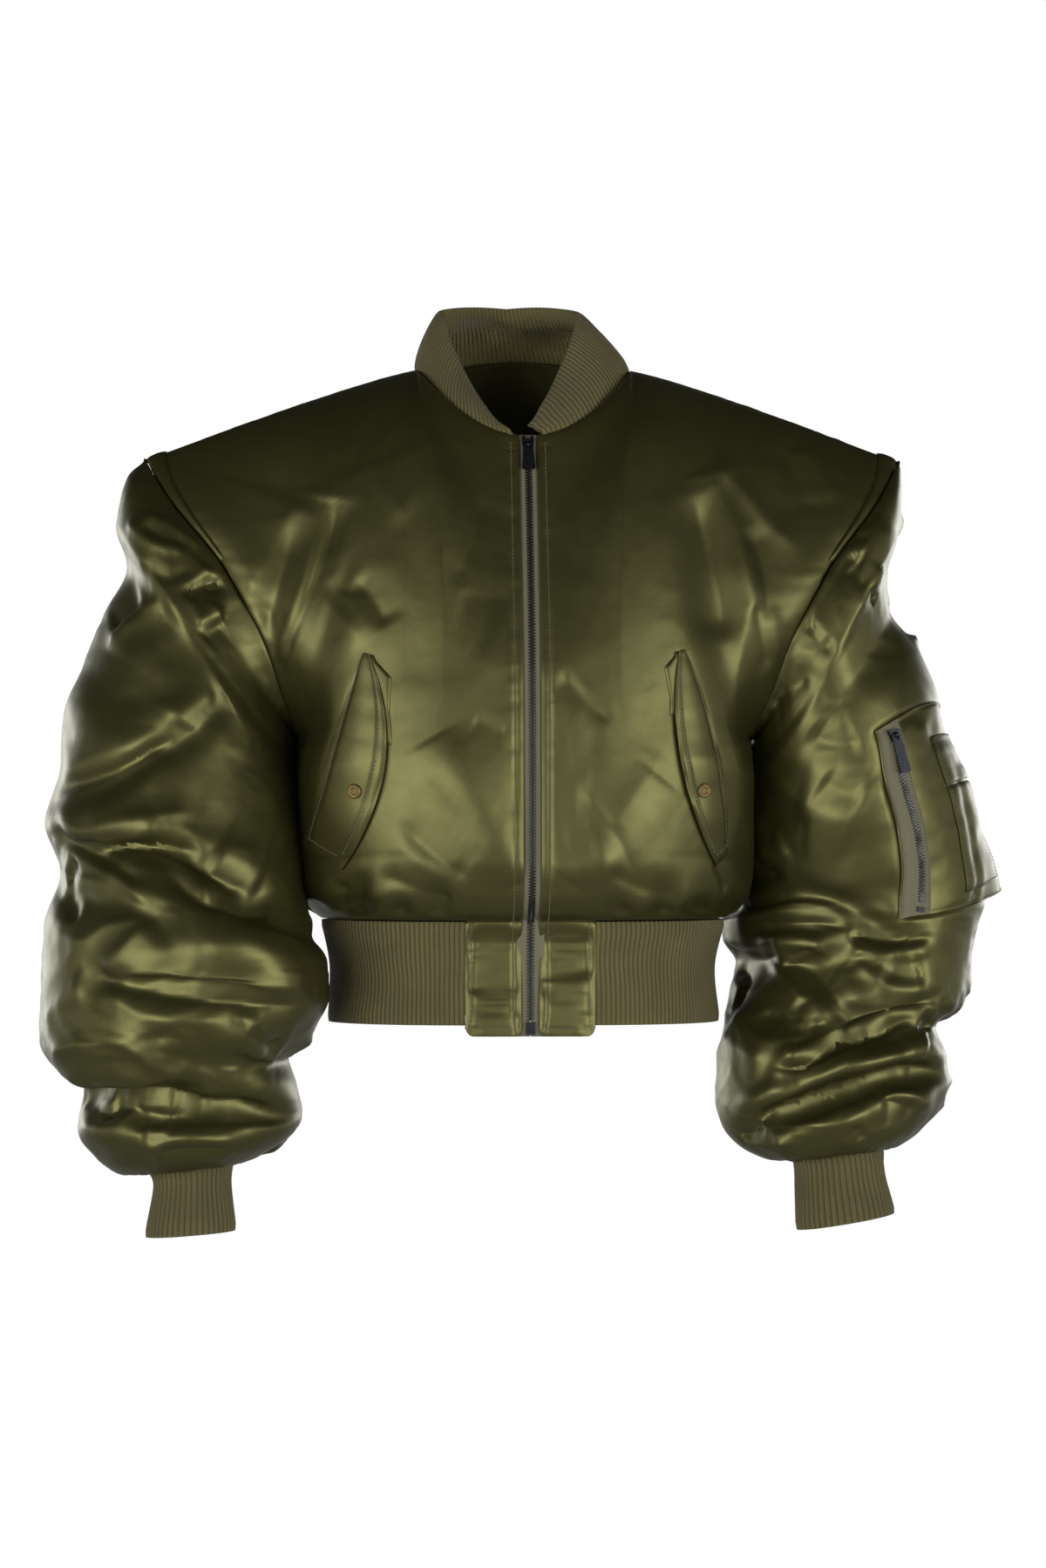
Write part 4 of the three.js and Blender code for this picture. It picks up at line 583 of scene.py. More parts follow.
def gather_height(x, z, face):
    """The gathers above the hem band, which the solids have too."""
    up = z - HEM_Z
    total = np.zeros_like(x)
    for g in GATHERS:
        if g["face"] == face:
            start = smooth(up / GATHER_START)
            end = smooth((g["height"] - up) / (g["height"] - GATHER_START))
            total -= g["depth"] * bell(x, g["x"], g["reach"]) * start * end
    return total


class Cloth:
    """A grid of points with its normals and the distances from its four edges along the cloth."""

    def __init__(self, points, down, across, outward, wrap=False):
        self.p, self.rows, self.cols, self.wrap = points, down, across, wrap
        self.outward = outward
        self.renew()
        along = np.linalg.norm(np.diff(points, axis=1), axis=-1)
        up = np.linalg.norm(np.diff(points, axis=0), axis=-1)
        zero = np.zeros((len(points), 1))
        self.from_left = np.concatenate([zero, np.cumsum(along, 1)], 1)
        self.from_right = self.from_left[:, -1:] - self.from_left
        self.from_start = np.concatenate([np.zeros((1, points.shape[1])), np.cumsum(up, 0)], 0)
        self.from_end = self.from_start[-1:] - self.from_start

    def renew(self):
        p = self.p
        if self.wrap:
            du = np.roll(p, -1, 1) - np.roll(p, 1, 1)
        else:
            du = np.gradient(p, axis=1)
        n = unit(np.cross(du, np.gradient(p, axis=0)))
        self.n = -n if np.sum(n * self.outward(p), axis=-1).mean() < 0 else n

    def lift(self, height):
        self.p = self.p + self.n * np.asarray(height)[..., None]

    def sample(self, r, c):
        """Points and normals at fractional row and column."""
        n_rows, n_cols = self.p.shape[:2]
        r = np.clip(r, 0, n_rows - 1 - 1e-6)
        j = np.floor(r).astype(int)
        if self.wrap:
            i = np.floor(c).astype(int)
            f, i0, i1 = c - i, i % n_cols, (i + 1) % n_cols
        else:
            c = np.clip(c, 0, n_cols - 1 - 1e-6)
            i = np.floor(c).astype(int)
            f, i0, i1 = c - i, i, i + 1
        g = (r - j)[..., None]
        f = f[..., None]
        p, n = (
            lerp(lerp(a[j, i0], a[j, i1], f), lerp(a[j + 1, i0], a[j + 1, i1], f), g)
            for a in (self.p, self.n)
        )
        return p, unit(n)

    def at(self, row, col):
        return self.sample(index_in(self.rows, row), index_in(self.cols, col))


def index_in(values, wanted):
    return np.interp(wanted, values, np.arange(len(values)))


CREASE = dict(facing=0.12, pitch=7, reach=6, lean=0.45, sway=0.25, fade=0.22)
RIDGE = dict(radius=0.28, run=1.5)
VALLEY = dict(radius=0.16, run=1.1, rim=0.2, rim_at=2.4)


def crease_profile(distance, radius, run):
    """Falls from 1 on the crease's line down straight flanks; radius rounds the line itself."""
    return np.exp(-(np.hypot(distance, radius) - radius) / run)


def curve(points, count):
    """A smooth line through the points."""
    n = len(points)
    ends = np.vstack([2 * points[0] - points[1], points, 2 * points[-1] - points[-2]])
    t = np.linspace(0, n - 1 - 1e-9, count + 1)
    i = np.floor(t).astype(int)
    f = (t - i)[:, None]
    a, b, c, d = (ends[i + k] for k in range(4))
    bend, twist = 2 * a - 5 * b + 4 * c - d, 3 * b - a - 3 * c + d
    return 0.5 * (2 * b + (c - a) * f + bend * f**2 + twist * f**3)


def nearest_on(path, p, n):
    """For each point, its distance from the path, its side of it and how far along the path it lies."""
    best = np.full(len(p), np.inf)
    side, along = np.zeros(len(p)), np.zeros(len(p))
    for i in range(len(path) - 1):
        a, b = path[i], path[i + 1]
        ab = b - a
        t = np.clip(((p - a) @ ab) / max(ab @ ab, 1e-9), 0, 1)
        away = p - a - t[:, None] * ab
        d = np.linalg.norm(away, axis=1)
        m = d < best
        best[m] = d[m]
        side[m] = np.sign(np.sum(np.cross(n[m], ab) * away[m], axis=1))
        along[m] = (i + t[m]) / (len(path) - 1)
    return best, side, along


def creases(cloth, table, fade, seed, back=False):
    """Adds the listed folds, on the side of the cloth that faces the front or the back."""
    flat, flat_n = cloth.p.reshape(-1, 3), cloth.n.reshape(-1, 3)
    facing = flat_n[:, 1] > -CREASE["facing"] if back else flat_n[:, 1] < CREASE["facing"]
    seen = np.where(facing)[0]
    total = np.zeros(len(flat))
    for k, (kind, depth, width, roll, points) in enumerate(table):
        line = np.array(points, float)
        steps = max(3, int(np.linalg.norm(np.diff(line, axis=0), axis=1).sum() / CREASE["pitch"]))
        line = curve(line, steps)
        d2 = (flat[seen, 0][None] - line[:, :1]) ** 2 + (flat[seen, 2][None] - line[:, 1:]) ** 2
        path = flat[seen[d2.argmin(1)]]
        for _ in range(3):
            path[1:-1] = (path[:-2] + 2 * path[1:-1] + path[2:]) / 4
        reach = CREASE["reach"] * width
        near = np.where(((flat > path.min(0) - reach) & (flat < path.max(0) + reach)).all(1))[0]
        distance, side, along = nearest_on(path, flat[near], flat_n[near])
        lean = CREASE["lean"] * (1 if k % 2 else -1) * (0.7 + 0.3 * line_noise([k * 1.7], seed))
        w = width * (1 + CREASE["sway"] * line_noise(along * 3 + k * 7.3, seed)) * (1 + lean * side)
        q = distance / w
        if kind == "r":
            h = depth * crease_profile(distance, RIDGE["radius"] * width, RIDGE["run"] * w)
        else:
            h = -depth * crease_profile(distance, VALLEY["radius"] * width, VALLEY["run"] * w)
            h = h + VALLEY["rim"] * depth * bell(q, VALLEY["rim_at"], 1)
        h = h + roll * side * q * np.exp(-q * q / 3)
        total[near] += h * faded(along, CREASE["fade"], CREASE["fade"])
    cloth.lift(total.reshape(cloth.p.shape[:2]) * fade)


WARP = dict(depth=0.6, scale=0.7)
WAVE = dict(second=0.35, scale=2.1)
PATCHES = dict(depth=1.2, scale=0.8)
BENT_LINES = rows("depth scale shift seed blunt", [(1.3, 1.35, 3, 9, 0.0009), (0.5, 3.1, 7, 10, 0.0016)])


def crumple(cloth, amount, size, seed, across=1.0, sharp=0.6):
    """Soft waves all over, broken by warping, with sharp bent lines where two waves meet."""
    p = cloth.p / size * np.array([1, 1, across])
    warp = np.stack([noise(p * WARP["scale"] + 9 * k, seed + k) for k in range(3)], -1)
    q = p + WARP["depth"] * warp
    wave = noise(q, seed + 5) + WAVE["second"] * noise(q * WAVE["scale"], seed + 6)
    patchy = smooth(0.5 + PATCHES["depth"] * noise(p * PATCHES["scale"] + 4, seed + 8))
    bent = 0
    for line in BENT_LINES:
        meeting = noise(q * line["scale"] + line["shift"], seed + line["seed"])
        bent = bent + line["depth"] * (0.5 - np.sqrt(meeting**2 + line["blunt"]))
    cloth.lift(amount * (wave + sharp * patchy * bent))


def seam(distance, arc, seed, dip, pucker, pitch, reach, run=2.2, start=3):
    """How high the cloth lies beside a seam that it rolls into and puckers at."""
    wave = line_noise(arc / pitch, seed) + 0.6 * line_noise(arc / pitch * 2.3, seed + 1)
    puckered = pucker * wave * np.exp(-distance / reach) * smooth(distance / start)
    return puckered - dip * np.exp(-distance / run)


# Mesh building.
def make_mesh(name, points, faces, rim=(), uv=None):
    mesh = bpy.data.meshes.new(name)
    mesh.from_pydata((np.asarray(points) * MM).tolist(), [], faces)
    mesh.polygons.foreach_set("use_smooth", [True] * len(mesh.polygons))
    if len(rim):
        rim = {tuple(sorted(e)) for e in rim}
        mesh.edges.foreach_set("use_edge_sharp", [tuple(sorted(e.vertices)) in rim for e in mesh.edges])
    if uv is not None:
        layer = mesh.uv_layers.new(name="cloth")
        index = np.empty(len(mesh.loops), np.int64)
        mesh.loops.foreach_get("vertex_index", index)
        layer.data.foreach_set("uv", np.asarray(uv, float)[index].reshape(-1))
    mesh.validate()
    mesh.update()
    obj = bpy.data.objects.new(name, mesh)
    bpy.context.scene.collection.objects.link(obj)
    return obj


def shell(name, outer, inner, wrap=False, mask=None, step=(1, 1), uv=None):
    """A closed wall between a fine outer grid and an inner one that keeps each step-th line."""
    n_rows, n_cols = outer.shape[:2]
    keep_r = sorted({*range(0, n_rows, step[0]), n_rows - 1})
    keep_c = sorted({*range(0, n_cols, step[1])} | (set() if wrap else {n_cols - 1}))
    out_id = np.arange(n_rows * n_cols).reshape(n_rows, n_cols)
    in_id = np.full((n_rows, n_cols), -1)
    in_id[np.ix_(keep_r, keep_c)] = n_rows * n_cols + np.arange(len(keep_r) * len(keep_c)).reshape(
        len(keep_r), len(keep_c)
    )
    kept = inner[np.ix_(keep_r, keep_c)].reshape(-1, 3)
    points = np.concatenate([outer.reshape(-1, 3), kept])
    du = outer[n_rows // 2, 1] - outer[n_rows // 2, 0]
    dv = outer[n_rows // 2 + 1, 0] - outer[n_rows // 2, 0]
    flip = np.cross(du, dv) @ (outer[n_rows // 2, 0] - inner[n_rows // 2, 0]) < 0

    def quads(ids, rs, cs, turned, closed):
        a = ids[np.ix_(rs, cs)]
        if closed:
            a = np.concatenate([a, a[:, :1]], 1)
        q = np.stack([a[:-1, :-1], a[:-1, 1:], a[1:, 1:], a[1:, :-1]], -1)
        if mask is not None:
            q = q[mask]
        q = q.reshape(-1, 4)
        return (q[:, ::-1] if turned else q).tolist()

    faces = quads(out_id, range(n_rows), range(n_cols), flip, wrap)
    faces += quads(in_id, keep_r, keep_c, not flip, wrap)
    rim = []

    def strip(coarse_at, ids_out, ids_in, turned):
        for a, b in zip(coarse_at, coarse_at[1:]):
            line = [ids_out[k % len(ids_out)] for k in range(a, b + 1)]
            ends = (ids_in[a % len(ids_in)], ids_in[b % len(ids_in)])
            half = len(line) // 2
            made = [(line[k], line[k + 1], ends[0 if k < half else 1]) for k in range(len(line) - 1)]
            made.append((line[half], ends[1], ends[0]))
            faces.extend([list(f[::-1]) if turned else list(f) for f in made])
            rim.extend(zip(line, line[1:]))
            rim.append(ends)

    if mask is None:
        cols = keep_c + ([n_cols] if wrap else [])
        strip(cols, out_id[0], in_id[0], not flip)
        strip(cols, out_id[-1], in_id[-1], flip)
        if not wrap:
            strip(keep_r, out_id[:, 0], in_id[:, 0], flip)
            strip(keep_r, out_id[:, -1], in_id[:, -1], not flip)
    else:
        outer_faces = faces[: len(faces) // 2]
        edges = dict.fromkeys((a, b) for f in outer_faces for a, b in zip(f, f[1:] + f[:1]))
        offset = {int(o): int(i) for o, i in zip(out_id.reshape(-1), in_id.reshape(-1))}
        for a, b in edges:
            if (b, a) not in edges:
                faces.append([b, a, offset[a], offset[b]])
                rim += [(a, b), (offset[a], offset[b])]
    full_uv = None
    if uv is not None:
        full_uv = np.concatenate([uv.reshape(-1, 2), uv[np.ix_(keep_r, keep_c)].reshape(-1, 2)])
    used = sorted({i for f in faces for i in f})
    if len(used) < len(points):
        new = {old: i for i, old in enumerate(used)}
        faces = [[new[i] for i in f] for f in faces]
        rim = [(new[a], new[b]) for a, b in rim]
        points = points[used]
        full_uv = None if full_uv is None else full_uv[used]
    return make_mesh(name, points, faces, rim, full_uv)


def cloth_shell(name, cloth, thick, mask=None, step=(1, 1)):
    return shell(name, cloth.p, cloth.p - cloth.n * thick, cloth.wrap, mask, step)


# Materials.
def material(name, color, rough, metal=0.0, **sockets):
    mat = bpy.data.materials.new(name)
    mat.use_nodes = True
    tree = mat.node_tree
    shader = tree.nodes["Principled BSDF"]
    shader.inputs["Base Color"].default_value = (*color, 1)
    shader.inputs["Roughness"].default_value = rough
    shader.inputs["Metallic"].default_value = metal
    for socket, value in sockets.items():
        shader.inputs[socket.replace("_", " ")].default_value = value
    return mat, tree, shader


def node(tree, kind, inputs=(), **settings):
    made = tree.nodes.new(kind)
    for k, v in settings.items():
        setattr(made, k, v)
    for k, v in dict(inputs).items():
        if isinstance(v, bpy.types.NodeSocket):
            tree.links.new(v, made.inputs[k])
        else:
            made.inputs[k].default_value = v
    return made


def ramp(tree, fac, stops):
    made = node(tree, "ShaderNodeValToRGB", {"Fac": fac})
    elements = made.color_ramp.elements
    while len(elements) < len(stops):
        elements.new(0.5)
    for element, (at, color) in zip(elements, stops):
        element.position = at
        element.color = (*color, 1)
    return made.outputs["Color"]


def noise_node(tree, vector, scale, detail=2.0, rough=0.5):
    return node(
        tree, "ShaderNodeTexNoise", {"Vector": vector, "Scale": scale, "Detail": detail, "Roughness": rough}
    ).outputs["Fac"]


def maths(tree, operation, *values):
    """A maths node on sockets or numbers."""
    return node(tree, "ShaderNodeMath", dict(enumerate(values)), operation=operation).outputs[0]


def spread(tree, value, low, high, start=0.0, end=1.0):
    """Maps start to end onto low to high."""
    inputs = {"Value": value, "From Min": start, "From Max": end, "To Min": low, "To Max": high}
    return node(tree, "ShaderNodeMapRange", inputs).outputs["Result"]


def place_of(tree, output="Object"):
    return node(tree, "ShaderNodeTexCoord").outputs[output]


def join(tree, output, shader, socket="Base Color"):
    tree.links.new(output, shader.inputs[socket])


def bumped(tree, shader, heights):
    """Chains bumps of (height socket, strength, distance)."""
    normal = None
    for height, strength, distance in heights:
        inputs = {"Height": height, "Strength": strength, "Distance": distance}
        if normal is not None:
            inputs["Normal"] = normal
        normal = node(tree, "ShaderNodeBump", inputs).outputs["Normal"]
    join(tree, normal, shader, "Normal")


def satin_material():
    mat, tree, shader = material("olive_satin", (0.073, 0.07, 0.022), 0.38, 0.8)
    place = place_of(tree)
    tone = noise_node(tree, place, 9.0, 3.0)
    join(tree, ramp(tree, tone, [(0.3, (0.063, 0.06, 0.0185)), (0.7, (0.076, 0.072, 0.0225))]), shader)
    thread = node(tree, "ShaderNodeMapping", {"Vector": place, "Scale": (2600, 2600, 180)}).outputs[0]
    threads = noise_node(tree, thread, 1.0, 1.0)
    crinkle = noise_node(tree, place, 75.0, 3.0, 0.55)
    dimple = noise_node(tree, place, 28.0, 2.0)
    join(tree, spread(tree, crinkle, 0.36, 0.46), shader, "Roughness")
    bumped(tree, shader, [(dimple, 0.14, 0.003), (crinkle, 0.12, 0.0012), (threads, 0.12, 0.0002)])
    return mat


def knit_material():
    """Light on a rib and dark in its groove as painted shade, with slanting stitches; the uv counts ribs and
    stitches.
    """
    mat, tree, shader = material(
        "olive_rib_knit", (0.08, 0.068, 0.019), 0.9, 0.0, Sheen_Weight=0.1, Sheen_Roughness=0.5
    )
    split = node(tree, "ShaderNodeSeparateXYZ", {"Vector": place_of(tree, "UV")})
    rib = maths(tree, "FRACT", split.outputs["X"])
    slant = maths(tree, "ABSOLUTE", maths(tree, "SUBTRACT", rib, 0.5))
    loops = maths(tree, "ADD", split.outputs["Y"], maths(tree, "MULTIPLY", slant, 1.6))
    stitches = maths(tree, "SINE", maths(tree, "MULTIPLY", loops, math.tau))
    place = place_of(tree)
    fuzz = noise_node(tree, place, 900.0, 3.0, 0.7)
    tone = noise_node(tree, place, 30.0, 3.0)
    # painted shade: the colour falls to near black where the groove between two ribs lies
    groove_shade_stops = [(0.16, (0.088, 0.075, 0.021)), (0.34, (0.062, 0.053, 0.015)), (0.47, (0.024, 0.02, 0.006))]
    groove_shade = ramp(tree, slant, groove_shade_stops)
    shade = ramp(tree, tone, [(0.3, (0.88, 0.88, 0.88)), (0.7, (1.1, 1.08, 1.05))])
    mixed = node(
        tree, "ShaderNodeMix", {0: 1.0, 6: groove_shade, 7: shade}, data_type="RGBA", blend_type="MULTIPLY"
    )
    join(tree, mixed.outputs[2], shader)
    bumped(tree, shader, [(stitches, 0.35, 0.0003), (fuzz, 0.35, 0.0003)])
    return mat


def tape_material():
    """A herringbone weave; the uv is in millimetres."""
    mat, tree, shader = material("zip_tape_weave", (0.115, 0.108, 0.05), 0.8, 0.0)
    split = node(tree, "ShaderNodeSeparateXYZ", {"Vector": place_of(tree, "UV")})
    band = maths(tree, "PINGPONG", split.outputs["X"], 4.0)
    lean = maths(tree, "ADD", band, split.outputs["Y"])
    weave = maths(tree, "SINE", maths(tree, "MULTIPLY", lean, 4.2))
    level = spread(tree, weave, 0.0, 1.0, -1.0, 1.0)
    join(tree, ramp(tree, level, [(0.25, (0.068, 0.064, 0.034)), (0.8, (0.15, 0.142, 0.084))]), shader)
    bumped(tree, shader, [(weave, 0.5, 0.0003)])
    return mat


def metal_material(name, color, rough):
    mat, tree, shader = material(name, color, rough, 0.85)
    worn = noise_node(tree, place_of(tree), 420.0, 4.0, 0.6)
    dark, light = (tuple(c * share for c in color) for share in (0.7, 1.5))
    join(tree, ramp(tree, worn, [(0.35, dark), (0.75, light)]), shader)
    join(tree, spread(tree, worn, rough - 0.08, rough + 0.14), shader, "Roughness")
    bumped(tree, shader, [(worn, 0.15, 0.0002)])
    return mat


def thread_material():
    mat, tree, shader = material("olive_thread", (0.07, 0.062, 0.022), 0.6, 0.0, Sheen_Weight=0.3)
    tone = noise_node(tree, place_of(tree), 1500.0, 2.0)
    join(tree, ramp(tree, tone, [(0.3, (0.036, 0.033, 0.012)), (0.7, (0.066, 0.06, 0.023))]), shader)
    return mat


SATIN = satin_material()
KNIT = knit_material()
TAPE = tape_material()
METAL = metal_material("gunmetal", (0.018, 0.019, 0.023), 0.38)
TOOTH = metal_material("dark_teeth", (0.045, 0.045, 0.047), 0.32)
BRONZE = metal_material("painted_snap", (0.13, 0.09, 0.032), 0.5)
THREAD = thread_material()


def dress(obj, mat, slot, *nodes, flat=None, area=None, held="hung", on=()):
    """Gives a piece its material and body, and hides the solids that it stands for."""
    obj.data.materials.append(mat)
    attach(obj, "garment")
    if nodes:
        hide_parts(*nodes)


# Fronts.
SIDES = (("right", -1), ("left", 1))
PANEL_RUN = TIP["x"] - ZIP_HALF
TAB_U = (TAB["edge"] - ZIP_HALF) / PANEL_RUN
NECK_U = (NECK["half"] - ZIP_HALF) / PANEL_RUN
NEAR = 1e-9
SATIN_WALL = 2.4


def spaced(*stops):
    """Values through (start, count, end) runs that share their ends."""
    runs = [np.linspace(a, b, n + 1)[:-1] for a, n, b in stops]
    return np.concatenate([*runs, [stops[-1][2]]])


FRONT_U = spaced((0, 34, TAB_U), (TAB_U, 17, NECK_U), (NECK_U, 78, 0.96), (0.96, 12, 1))
FRONT_V = spaced((-1, 46, -0.02), (-0.02, 2, 0), (0, 14, 0.05), (0.05, 128, 0.95), (0.95, 16, 1))
BACK_U = spaced((0, 22, NECK_U), (NECK_U, 64, 0.96), (0.96, 12, 1))
BACK_V = spaced((0, 14, 0.05), (0.05, 140, 0.95), (0.95, 16, 1))

SIDE_SEAM = dict(dip=1.3, pucker=0.9, pitch=8, reach=15)
TOP_SEAM = dict(dip=1.1, pucker=0.8, pitch=9, reach=16)
HEM_SEAM = dict(pucker=2.6, reach=19, start=3, dip=2.4, run=3.2, pitch=8, drift=40)
ZIP_EDGE = dict(groove=0.9, at=7.0, width=1.5, lip=0.5, run=1.2, start=2)
ZIP_PUCKER = dict(fine=0.42, finePitch=2.6, slow=0.5, slowPitch=9, at=7.5, width=6.5)


def panel_edges(cloth, seed, hem_mask, zip_edge):
    """Seam rolls and puckers along the side, shoulder, hem and zip edges of a front or the back."""
    x, y, z = np.moveaxis(cloth.p, -1, 0)
    sides = [cloth.from_right] if zip_edge else [cloth.from_right, cloth.from_left]
    height = sum(seam(away, z, seed + k, **SIDE_SEAM) for k, away in enumerate(sides))
    height = height + seam(cloth.from_end, x, seed + 3, **TOP_SEAM)
    up = np.maximum(z - HEM_Z, 0)
    wave = line_noise(np.hypot(x, 0.6 * y) / HEM_SEAM["pitch"] + x / HEM_SEAM["drift"], seed + 5)
    gathered = HEM_SEAM["pucker"] * wave * np.exp(-up / HEM_SEAM["reach"]) * smooth(up / HEM_SEAM["start"])
    gathered = (gathered - HEM_SEAM["dip"] * np.exp(-up / HEM_SEAM["run"])) * (z > HEM_Z - 1)
    height = height + np.where(hem_mask, gathered, 0)
    if zip_edge:
        away = cloth.from_left
        height = height - ZIP_EDGE["groove"] * bell(away, ZIP_EDGE["at"], ZIP_EDGE["width"])
        height = height - ZIP_EDGE["lip"] * np.exp(-away / ZIP_EDGE["run"])
        fine = ZIP_PUCKER["fine"] * line_noise(z / ZIP_PUCKER["finePitch"], seed + 8)
        slow = ZIP_PUCKER["slow"] * line_noise(z / ZIP_PUCKER["slowPitch"], seed + 9)
        beside = bell(away, ZIP_PUCKER["at"], ZIP_PUCKER["width"]) * smooth(away / ZIP_EDGE["start"])
        height = height + (fine + slow) * beside
    return height


TAB_CORNER = dict(outer=9, inner=5, full=0.985)
TAB_FORM = dict(bulge=2.5, lean=7, within=12)
TAB_EDGE = dict(roll=0.8, run=2.2, groove=0.35, at=7, width=1.8)
TAB_WRINKLE = dict(height=1.9, pitch=(30, 9.5), bias=0.3, second=0.7, scale=0.6, below=14, over=16)
FOLD_FADE = 0.12
CREASE_FADE = (0.05, 0.07)
FLAP_EASE = dict(reach=4, over=6, end=0.005, within=0.03)


def shape_tab(points, u, v):
    """Rounds the tab's corners and lets it bulge below the hem seam."""
    on_tab = u <= TAB_U + NEAR
    from_edge = (TAB_U - u) * PANEL_RUN
    turn = 3 * TAB_CORNER["outer"]
    low = smooth((-v * TAB["drop"] - TAB["drop"] + turn) / turn)
    for away, radius in ((from_edge, TAB_CORNER["outer"]), (u * PANEL_RUN, TAB_CORNER["inner"])):
        short = np.clip(radius - away, 0, TAB_CORNER["full"] * radius)
        points[..., 2] += low * (radius - np.sqrt(radius**2 - short**2)) * on_tab
    drop = np.clip(-v, 0, 1)
    bulge = TAB_FORM["bulge"] * np.sin(np.pi * drop) - TAB_FORM["lean"] * (smooth(drop * 5) - drop)
    points[..., 1] -= bulge * smooth(from_edge / TAB_FORM["within"]) * on_tab


def under_flap(flap, x, z):
    """1 on the cloth that a pocket flap covers, which is left smooth."""
    b = np.clip((z - flap["sewn"]["z1"]) / (flap["sewn"]["z2"] - flap["sewn"]["z1"]), 0, 1)
    x_sewn, x_free = edge_point(flap["sewn"], b)[0], edge_point(flap["free"], b)[0]
    reach, over, end, within = FLAP_EASE.values()
    inside = smooth((abs(x) - x_free + reach) / over) * smooth((x_sewn + reach - abs(x)) / over)
    return inside * smooth((b - end) / within) * smooth((1 - end - b) / within)


def tab_height(cloth, x, z, u, side):
    """The tab's rolled edge with its groove, and its wrinkles across."""
    edge = cloth.from_left[:, np.searchsorted(FRONT_U, TAB_U - NEAR)][:, None] - cloth.from_left
    nearest = np.minimum(edge, cloth.from_start)
    rolled = -TAB_EDGE["roll"] * np.exp(-nearest / TAB_EDGE["run"])
    rolled = rolled - TAB_EDGE["groove"] * bell(nearest, TAB_EDGE["at"], TAB_EDGE["width"])
    wide, high = TAB_WRINKLE["pitch"]
    across = np.stack([x / wide, z / high, 0 * z + 0.5 + side], -1)
    second = TAB_WRINKLE["second"] * noise(across * TAB_WRINKLE["scale"], 45)
    wrinkle = TAB_WRINKLE["bias"] - abs(noise(across, 44)) + second
    below = smooth(-(z - HEM_Z - TAB_WRINKLE["below"]) / TAB_WRINKLE["over"])
    wrinkled = TAB_WRINKLE["height"] * wrinkle * below * smooth((TAB_U - u) / 0.03) * smooth(u / 0.02)
    return rolled * (u <= TAB_U + NEAR), wrinkled


def make_front(name, side, fold_table, crease_table, flap):
    v, u = np.meshgrid(FRONT_V, FRONT_U, indexing="ij")
    points = front_surface(u, v) * np.array([side, 1, 1])
    shape_tab(points, u, v)
    cloth = Cloth(points, FRONT_V, FRONT_U, lambda p: np.array([0, -1, 0]) + 0 * p)
    x, z = points[..., 0], points[..., 2]
    fade = faded(v, FOLD_FADE, FOLD_FADE) * smooth((1 - u) / FOLD_FADE) * (v > 0)
    cloth.lift(fold_height(fold_table, x, z, -1) * fade + gather_height(x, z, -1) * (v > 0))
    cloth.renew()
    free = faded(v, *CREASE_FADE) * faded(u, 0.06, CREASE_FADE[1]) * (1 - under_flap(flap, x, z))
    crumple(cloth, free, 62, 11 + side, 0.8, 0.5)
    cloth.renew()
    creases(cloth, crease_table, free, 5 + side)
    height = panel_edges(cloth, 30 + side, u > TAB_U - NEAR, True)
    rolled, wrinkled = tab_height(cloth, x, z, u, side)
    cloth.lift(np.where(v < 0, height + rolled, height) + wrinkled)
    cloth.renew()
    keep = ~((v[:-1, :-1] < -NEAR) & (u[:-1, 1:] > TAB_U + NEAR))
    dress(
        cloth_shell(f"front_{name}_cloth", cloth, SATIN_WALL, mask=keep), SATIN, "satin", f"front_{name}",
        flat=(0.4, 0.62), area=0.15, on=["collar_knit", "back_cloth"],
    )
    return cloth


def make_back():
    v, u = np.meshgrid(BACK_V, np.concatenate([-BACK_U[:0:-1], BACK_U]), indexing="ij")
    points = torso(1, abs(u), v) * np.stack([np.sign(u) + (u == 0), 0 * u + 1, 0 * u + 1], -1)
    cloth = Cloth(points, BACK_V, u[0], lambda p: np.array([0, 1, 0]) + 0 * p)
    x, z = points[..., 0], points[..., 2]
    fade = faded(v, FOLD_FADE, FOLD_FADE) * smooth((1 - abs(u)) / FOLD_FADE)
    cloth.lift(fold_height(BACK_FOLDS, x, z, 1) * fade + gather_height(x, z, 1) * (v > 0))
    cloth.renew()
    free = faded(v, *CREASE_FADE) * smooth((1 - abs(u)) / CREASE_FADE[1])
    crumple(cloth, 1.9 * free, 68, 21, 0.8)
    cloth.renew()
    creases(cloth, BACK_CREASES, free, 8, back=True)
    cloth.lift(panel_edges(cloth, 40, np.ones_like(v, bool), False))
    cloth.renew()
    dress(
        cloth_shell("back_cloth", cloth, SATIN_WALL, step=(3, 3)), SATIN, "satin", "back",
        flat=(0.74, 0.54), area=0.29, on=["collar_knit"],
    )
    return cloth


FRONTS = {
    "right": make_front("right", -1, RIGHT_FRONT_FOLDS, RIGHT_FRONT_CREASES, RIGHT_FLAP),
    "left": make_front("left", 1, LEFT_FRONT_FOLDS, LEFT_FRONT_CREASES, LEFT_FLAP),
}
BACK = make_back()

# Sleeves.
SLEEVE_COLUMNS = 228
SLEEVE_ROWS = 12.6
ARMPIT_PRESS = dict(depth=9, start=0.3, phi=172, spread=36, right=9.4, left=8)
SLEEVE_HEAD = dict(dip=1.4, run=2.2, pucker=1.1, pitch=14, reach=16, start=3)
SLEEVE_END = dict(dip=1.6, run=2.5, gather=2.6, pitch=5.5, fine=1.2, finePitch=12, reach=22, start=2)


def mirrored(table, dz):
    """The other sleeve's creases for the side of a sleeve that the photo hides, moved by dz."""
    return [
        (kind, depth, width, -roll, [(-x, z + dz) for x, z in points])
        for kind, depth, width, roll, points in table
    ]


